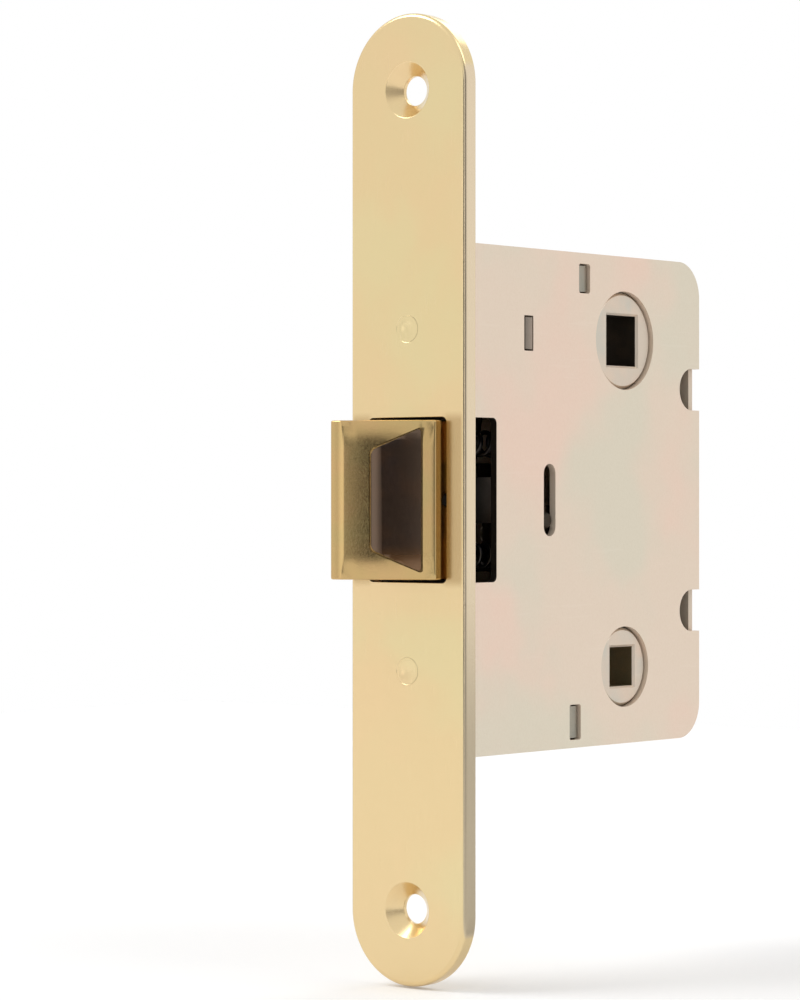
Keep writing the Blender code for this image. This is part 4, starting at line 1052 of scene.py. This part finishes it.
def set_on_bevel(piece):
    """Moves a piece made along X, up Y and out Z onto the latch's bevel, from the nose's edge."""
    start, end = bevel_ends()
    along = (end - start).normalized()
    outward = Vector((along.y, -along.x, 0))
    turn = Matrix((along, (0, 0, 1), outward)).transposed().to_4x4()
    settle(piece, Matrix.Translation(start) @ turn)


def trim_to_crown(piece, start, end, rise, count, away):
    """Trims a piece by planes along an arc that rises from the chord between two points."""
    half_chord = (end - start) / 2
    radius = (half_chord.length_squared + rise**2) / (2 * rise)
    up = (away - away.project(half_chord)).normalized()
    centre = start + half_chord - up * (radius - rise)
    half_angle = math.asin(half_chord.length / radius)
    axis = half_chord.cross(up).normalized()
    select_only(piece)
    bpy.ops.object.mode_set(mode="EDIT")
    for k in range(count):
        angle = half_angle * (2 * (k + 0.5) / count - 1)
        normal = Matrix.Rotation(-angle, 3, axis) @ up
        bpy.ops.mesh.select_all(action="SELECT")
        bpy.ops.mesh.bisect(
            plane_co=centre + normal * radius,
            plane_no=normal,
            use_fill=True,
            clear_outer=True,
            threshold=ON_PLANE,
        )
    bpy.ops.object.mode_set(mode="OBJECT")


def ease_ends(piece):
    """Lets the bevel fall away softly towards the latch's top and bottom."""
    start, end = bevel_ends()
    length = (end - start).length
    along = (end - start) / length
    outward = Vector((along.y, -along.x, 0))
    select_only(piece)
    bpy.ops.object.mode_set(mode="EDIT")
    for row in range(EASE_ROWS):
        height = EASE_START + (LATCH_HALF_HEIGHT - EASE_START) * row / EASE_ROWS
        for side in (-1, 1):
            bpy.ops.mesh.select_all(action="SELECT")
            bpy.ops.mesh.bisect(
                plane_co=(0, 0, side * height), plane_no=(0, 0, 1), threshold=ON_PLANE
            )
    bpy.ops.object.mode_set(mode="OBJECT")

    def on_crown(vertex):
        return (vertex.co - start).dot(outward) > NEAR

    def from_long_edge(vertex):
        run = (vertex.co - start).dot(along)
        return min(run, length - run, EASE_RUN)

    groups = {
        (round(abs(v.co.z), 6), round(from_long_edge(v), 6))
        for v in piece.data.vertices
        if abs(v.co.z) > EASE_START + NEAR and on_crown(v)
    }
    for height, run in sorted(groups):
        share = (height - EASE_START) / (LATCH_HALF_HEIGHT - EASE_START)
        across = run / EASE_RUN
        move_points(
            piece,
            lambda v: abs(abs(v.co.z) - height) < MERGE
            and on_crown(v)
            and abs(from_long_edge(v) - run) < MERGE,
            -outward * EASE_DROP * share**2 * across * (2 - across),
        )


def insert_block(name, margin, low, high):
    """A block on the bevel that widens towards the faceplate."""
    near = INSERT_START - margin
    far = INSERT_START + INSERT_LENGTH + margin
    tip = INSERT_TIP_HALF + margin
    root = INSERT_ROOT_HALF + margin
    made = block(name, (near, -root, low), (far, root, high))
    middle = (near + far) / 2
    for side in (-1, 1):
        shift = (0, side * (tip - root), 0)
        move_points(made, lambda v: v.co.x < middle and v.co.y * side > 0, shift)
    round_edges(made, lambda e: runs_along(e, 2), INSERT_CORNER, 6)
    return made


# The insert's rounded top, as two arcs (first point, last point, rise) along it and out of the
# bevel: a lead-in that falls off towards the nose, and a nearly flat face
INSERT_CROWNS = (
    ((0.0053, 0, 0.00024), (0.0072, 0, 0.00074), 0.00006),
    ((0.0072, 0, 0.00074), (0.0138, 0, 0.00056), 0.00006),
)


def make_latch():
    start, end = bevel_ends()
    low = (-LATCH_HALF_WIDTH, -LATCH_REACH, -LATCH_HALF_HEIGHT)
    head = block("brass_latch_head", low, (LATCH_HALF_WIDTH, LATCH_REAR, LATCH_HALF_HEIGHT))
    trim_to_crown(head, start, end, LATCH_CROWN, 20, Vector((1, -1, 0)))
    nose = low[0] + LATCH_NOSE / 2
    round_edges(
        head,
        lambda e: runs_along(e, 2) and middle_of(e).y < low[1] + NEAR and middle_of(e).x > nose,
        NOSE_ROUND,
        8,
    )
    ease_ends(head)
    break_edges(head, LATCH_BREAK, 3)
    behind = LATCH_REAR + PAST
    half = TAIL_HALF_THICKNESS + GAP
    height = TAIL_HALF_HEIGHT + GAP
    cut(head, block("slot", (-half, -TAIL_ROOT - GAP, -height), (half, behind, height)))
    for near, far in ((WEB_HALF, CASE_HALF), (-CASE_HALF, -WEB_HALF)):
        pocket = block(
            "pocket",
            (near, LATCH_REAR - POCKET_DEPTH, -POCKET_HALF_HEIGHT),
            (far, behind, POCKET_HALF_HEIGHT),
        )
        cut(head, pocket)
    cut(head, bore(TAIL_RIVET_Y, 0, TAIL_RIVET_RADIUS + GAP, -CASE_HALF, CASE_HALF, 48))
    recess = insert_block("recess", GAP, -INSERT_DEPTH - GAP, LATCH_CROWN + PAST)
    set_on_bevel(recess)
    cut(head, recess)
    shade(head)
    finish(head, "latch", "latch_head", LATCH_BRASS)

    insert = insert_block("nylon_insert", 0, -INSERT_DEPTH, LATCH_CROWN + PAST)
    for first, last, rise in INSERT_CROWNS:
        trim_to_crown(insert, Vector(first), Vector(last), rise, 8, Vector((0, 0, 1)))
    set_on_bevel(insert)
    ease_ends(insert)
    finish_edges(insert, INSERT_BREAK, 4)
    finish(insert, "latch", "latch_insert", NYLON)


def make_coil(name, body, node, axis, place, sizes, turns, squash, part=(0, 1)):
    """A compression spring with closed ends, swept round as wire, or the part of its length
    between two shares."""
    low, high, radius, wire = sizes
    closed = CLOSED_PITCH * wire
    pitch = (high - low - 2 * wire - 2 * closed) / (turns - 2)
    curve = bpy.data.curves.new(name, "CURVE")
    curve.dimensions = "3D"
    curve.bevel_depth = wire
    curve.bevel_resolution = 3
    curve.use_fill_caps = True
    line = curve.splines.new("POLY")
    first, last = (round(share * turns * COIL_STEPS) for share in part)
    line.points.add(last - first)
    for k in range(first, last + 1):
        turn = k / COIL_STEPS
        along = low + wire + closed * (min(turn, 1) + max(turn - turns + 1, 0))
        along += pitch * min(max(turn - 1, 0), turns - 2)
        around = 2 * math.pi * turn
        u = place[0] + (radius - wire) * math.cos(around)
        v = place[1] + (radius - wire) * math.sin(around)
        line.points[k - first].co = (u, along, v, 1) if axis == "Y" else (u, v, along, 1)
    made = bpy.data.objects.new(name, curve)
    bpy.context.scene.collection.objects.link(made)
    select_only(made)
    bpy.ops.object.convert(target="MESH")
    made = bpy.context.active_object
    bpy.ops.object.shade_smooth()
    finish(made, body, node, SPRING_STEEL)
    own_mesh(made)


def make_springs():
    """The latch's coils are each made as two halves in series: the front one rides on the yoke and
    the rear one hangs on the case."""
    front, rear = LATCH_SPRING[:2]
    for name, z in (("upper", LATCH_SPRING_Z), ("lower", -LATCH_SPRING_Z)):
        node = f"latch_spring_{name}"
        coil = (node, "Y", (0, z), LATCH_SPRING, 10)
        squash = ("latch_press", (0, 1, 0), (0, (front + rear) / 2, z), 0.166)
        make_coil(f"latch_coil_{name}_front", "yoke", *coil, squash, (0, 0.5))
        squash = ("follower_turn", (0, 1, 0), (0, rear, z), 0.142)
        make_coil(f"latch_coil_{name}", "case", *coil, squash, (0.5, 1))
    x, z, rear = RETURN_SPRING_X, RETURN_SPRING_Z, RETURN_SPRING[1]
    squash = ("follower_turn", (0, 1, 0), (x, rear, z), 0.54)
    make_coil("return_coil", "case", "return_spring", "Y", (x, z), RETURN_SPRING, 10, squash)
    x, y, top = SNIB_SPRING_X, SNIB_SPRING_Y, SNIB_SPRING[1]
    squash = ("privacy_turn", (0, 0, 1), (x, y, top), 0.44)
    make_coil("snib_coil", "case", "snib_spring", "Z", (x, y), SNIB_SPRING, 11, squash)


INNER_PIECES = (
    "crank_post",
    "crank_clip",
    "spring_bridge",
    "detent_spring",
    "retractor_crank",
    "retractor_yoke",
    "latch_tail",
    "tail_pin",
    "tail_rivet",
    "snib_slide",
    "snib_pin",
)


def make_inner_pieces():
    """The stamped and turned pieces inside keep their solids' shapes, with their edges broken."""
    for node in INNER_PIECES:
        solid = frame["nodes"][node]
        made = bpy.data.objects.new(f"finished_{node}", solid.data.copy())
        bpy.context.scene.collection.objects.link(made)
        finish_edges(made, INNER_BREAK)
        # The latch's tail takes the inside finish, whose painted shade keeps it dark behind the
        # window
        look = INSIDE_SHADED_ZINC if node == "latch_tail" else LOOK_OF_SLOT[SLOT_OF[node]]
        finish(made, BODY_OF[node], node, look)


# What shiny surfaces see around the studio, as (azimuth in degrees, level): white screens, and a
# dark flag beside the camera that gives the latch's bevel its depth
SCREENS = (
    (-180, 0.90),
    (-60, 1.02),
    (-38, 1.02),
    (-28, 0.80),
    (-20, 1.35),
    (-7, 1.35),
    (0, 0.85),
    (5, 0.44),
    (11, 0.30),
    (17, 0.04),
    (32, 0.04),
    (36, 1.00),
    (45, 1.00),
    (51, 0.26),
    (76, 0.26),
    (90, 0.70),
    (105, 0.95),
    (141, 1.00),
    (180, 0.90),
)
FLAG_TOP = math.radians(6)
FLAG_FADE = math.radians(12)
SIDE_FLAG_START = math.radians(46)
SIDE_FLAG_TALLER = 3.5
SIDE_FLAG_FADE = math.radians(6)
LAMP_REACH = 1.6
LAMP_HEIGHT = 1.7
LAMP_SIZE = 1.2
# Each lamp's azimuth in degrees and its power
LAMPS = (("key_lamp", -48, 20.0), ("side_lamp", 100, 7.0), ("rear_lamp", 190, 7.0))
LAMP_AIM = Vector((0, 0.03, 0))
WORLD_LEVEL = 0.62
OVERHEAD_LEVEL = (0.95, 0.95, 0.95, 1)
FLOOR_GLOW = 0.16
FLOOR_SIZE = 1.2
FLOOR_GAP = 0.0003


def make_studio():
    """A pale floor, white screens with a dark flag, and soft lamps."""
    bpy.ops.object.select_all(action="DESELECT")
    bpy.ops.mesh.primitive_plane_add(size=FLOOR_SIZE, location=(0, 0, CAD_BOX[0][2] - FLOOR_GAP))
    floor = newest("pale_floor")
    look, tree, shader = new_look("pale_floor")
    shader.inputs["Base Color"].default_value = (0.86, 0.86, 0.86, 1)
    shader.inputs["Roughness"].default_value = 0.8
    shader.inputs["Specular IOR Level"].default_value = 0.1
    shader.inputs["Emission Color"].default_value = (1, 1, 1, 1)
    glow = maths(tree, "MULTIPLY", seen_directly(tree), FLOOR_GLOW)
    tree.links.new(glow, shader.inputs["Emission Strength"])
    floor.data.materials.append(look)

    world = bpy.data.worlds.new("studio")
    bpy.context.scene.world = world
    world.use_nodes = True
    tree = world.node_tree
    sky = tree.nodes["Background"]
    sky.inputs["Color"].default_value = (1, 1, 1, 1)
    path = add(tree, "ShaderNodeLightPath").outputs
    for_gloss = mix(tree, path["Is Glossy Ray"], WORLD_LEVEL, screens(tree), "FLOAT")
    for_camera = mix(tree, path["Is Camera Ray"], for_gloss, 1.0, "FLOAT")
    tree.links.new(for_camera, sky.inputs["Strength"])

    for name, azimuth, power in LAMPS:
        lamp = bpy.data.lights.new(name, "AREA")
        lamp.shape = "SQUARE"
        lamp.size = LAMP_SIZE
        lamp.energy = power
        holder = bpy.data.objects.new(name, lamp)
        bpy.context.scene.collection.objects.link(holder)
        turn = math.radians(azimuth)
        holder.location = (LAMP_REACH * math.sin(turn), -LAMP_REACH * math.cos(turn), LAMP_HEIGHT)
        aim = LAMP_AIM - holder.location
        holder.rotation_euler = aim.to_track_quat("-Z", "Y").to_euler()


def seen_directly(tree):
    """1 for what the camera sees, itself or in a mirror or through glass, 0 for stray light."""
    path = add(tree, "ShaderNodeLightPath").outputs
    seen = path["Is Camera Ray"]
    for kind in ("Is Glossy Ray", "Is Transmission Ray"):
        seen = maths(tree, "MAXIMUM", seen, path[kind])
    return seen


def screens(tree):
    """The screens' level towards a direction in the world."""
    direction = add(tree, "ShaderNodeTexCoord").outputs["Generated"]
    parts = add(tree, "ShaderNodeSeparateXYZ", {0: direction}).outputs
    azimuth = maths(tree, "ARCTAN2", parts["X"], maths(tree, "MULTIPLY", parts["Y"], -1))
    share = turn_into(tree, azimuth, (-math.pi, math.pi), kind="LINEAR")
    ramp = add(tree, "ShaderNodeValToRGB", {"Fac": share})
    stops = ramp.color_ramp.elements
    while len(stops) < len(SCREENS):
        stops.new(0.5)
    for stop, (degrees, level) in zip(stops, SCREENS):
        stop.position = (degrees + 180) / 360
        stop.color = (level, level, level, 1)
    span = (SIDE_FLAG_START, SIDE_FLAG_START + SIDE_FLAG_FADE)
    taller = turn_into(tree, azimuth, span, (1, 1 / SIDE_FLAG_TALLER), "LINEAR")
    height = maths(tree, "MULTIPLY", maths(tree, "ABSOLUTE", parts["Z"]), taller)
    above = turn_into(tree, height, (math.sin(FLAG_TOP), math.sin(FLAG_FADE)))
    return mix(tree, above, ramp.outputs["Color"], OVERHEAD_LEVEL)


def make_camera():
    view = bpy.data.cameras.new("photo_view")
    view.lens = LENS
    view.sensor_width = 36
    view.clip_start = 0.01
    holder = bpy.data.objects.new("photo_view", view)
    bpy.context.scene.collection.objects.link(holder)
    back = Vector((math.sin(VIEW_AZIMUTH), -math.cos(VIEW_AZIMUTH), 0))
    right = Vector((math.cos(VIEW_AZIMUTH), math.sin(VIEW_AZIMUTH), 0))
    holder.location = back * VIEW_DISTANCE - right * VIEW_SIDE_OFFSET
    holder.rotation_euler = (math.pi / 2, 0, VIEW_AZIMUTH)
    bpy.context.scene.camera = holder


make_faceplate()
make_faceplate_rivets()
make_case_cover()
make_case_tray()
make_pillars()
make_follower()
make_privacy_hub()
make_latch()
make_springs()
make_inner_pieces()
make_studio()
make_camera()
bpy.context.scene.view_settings.view_transform = "Standard"
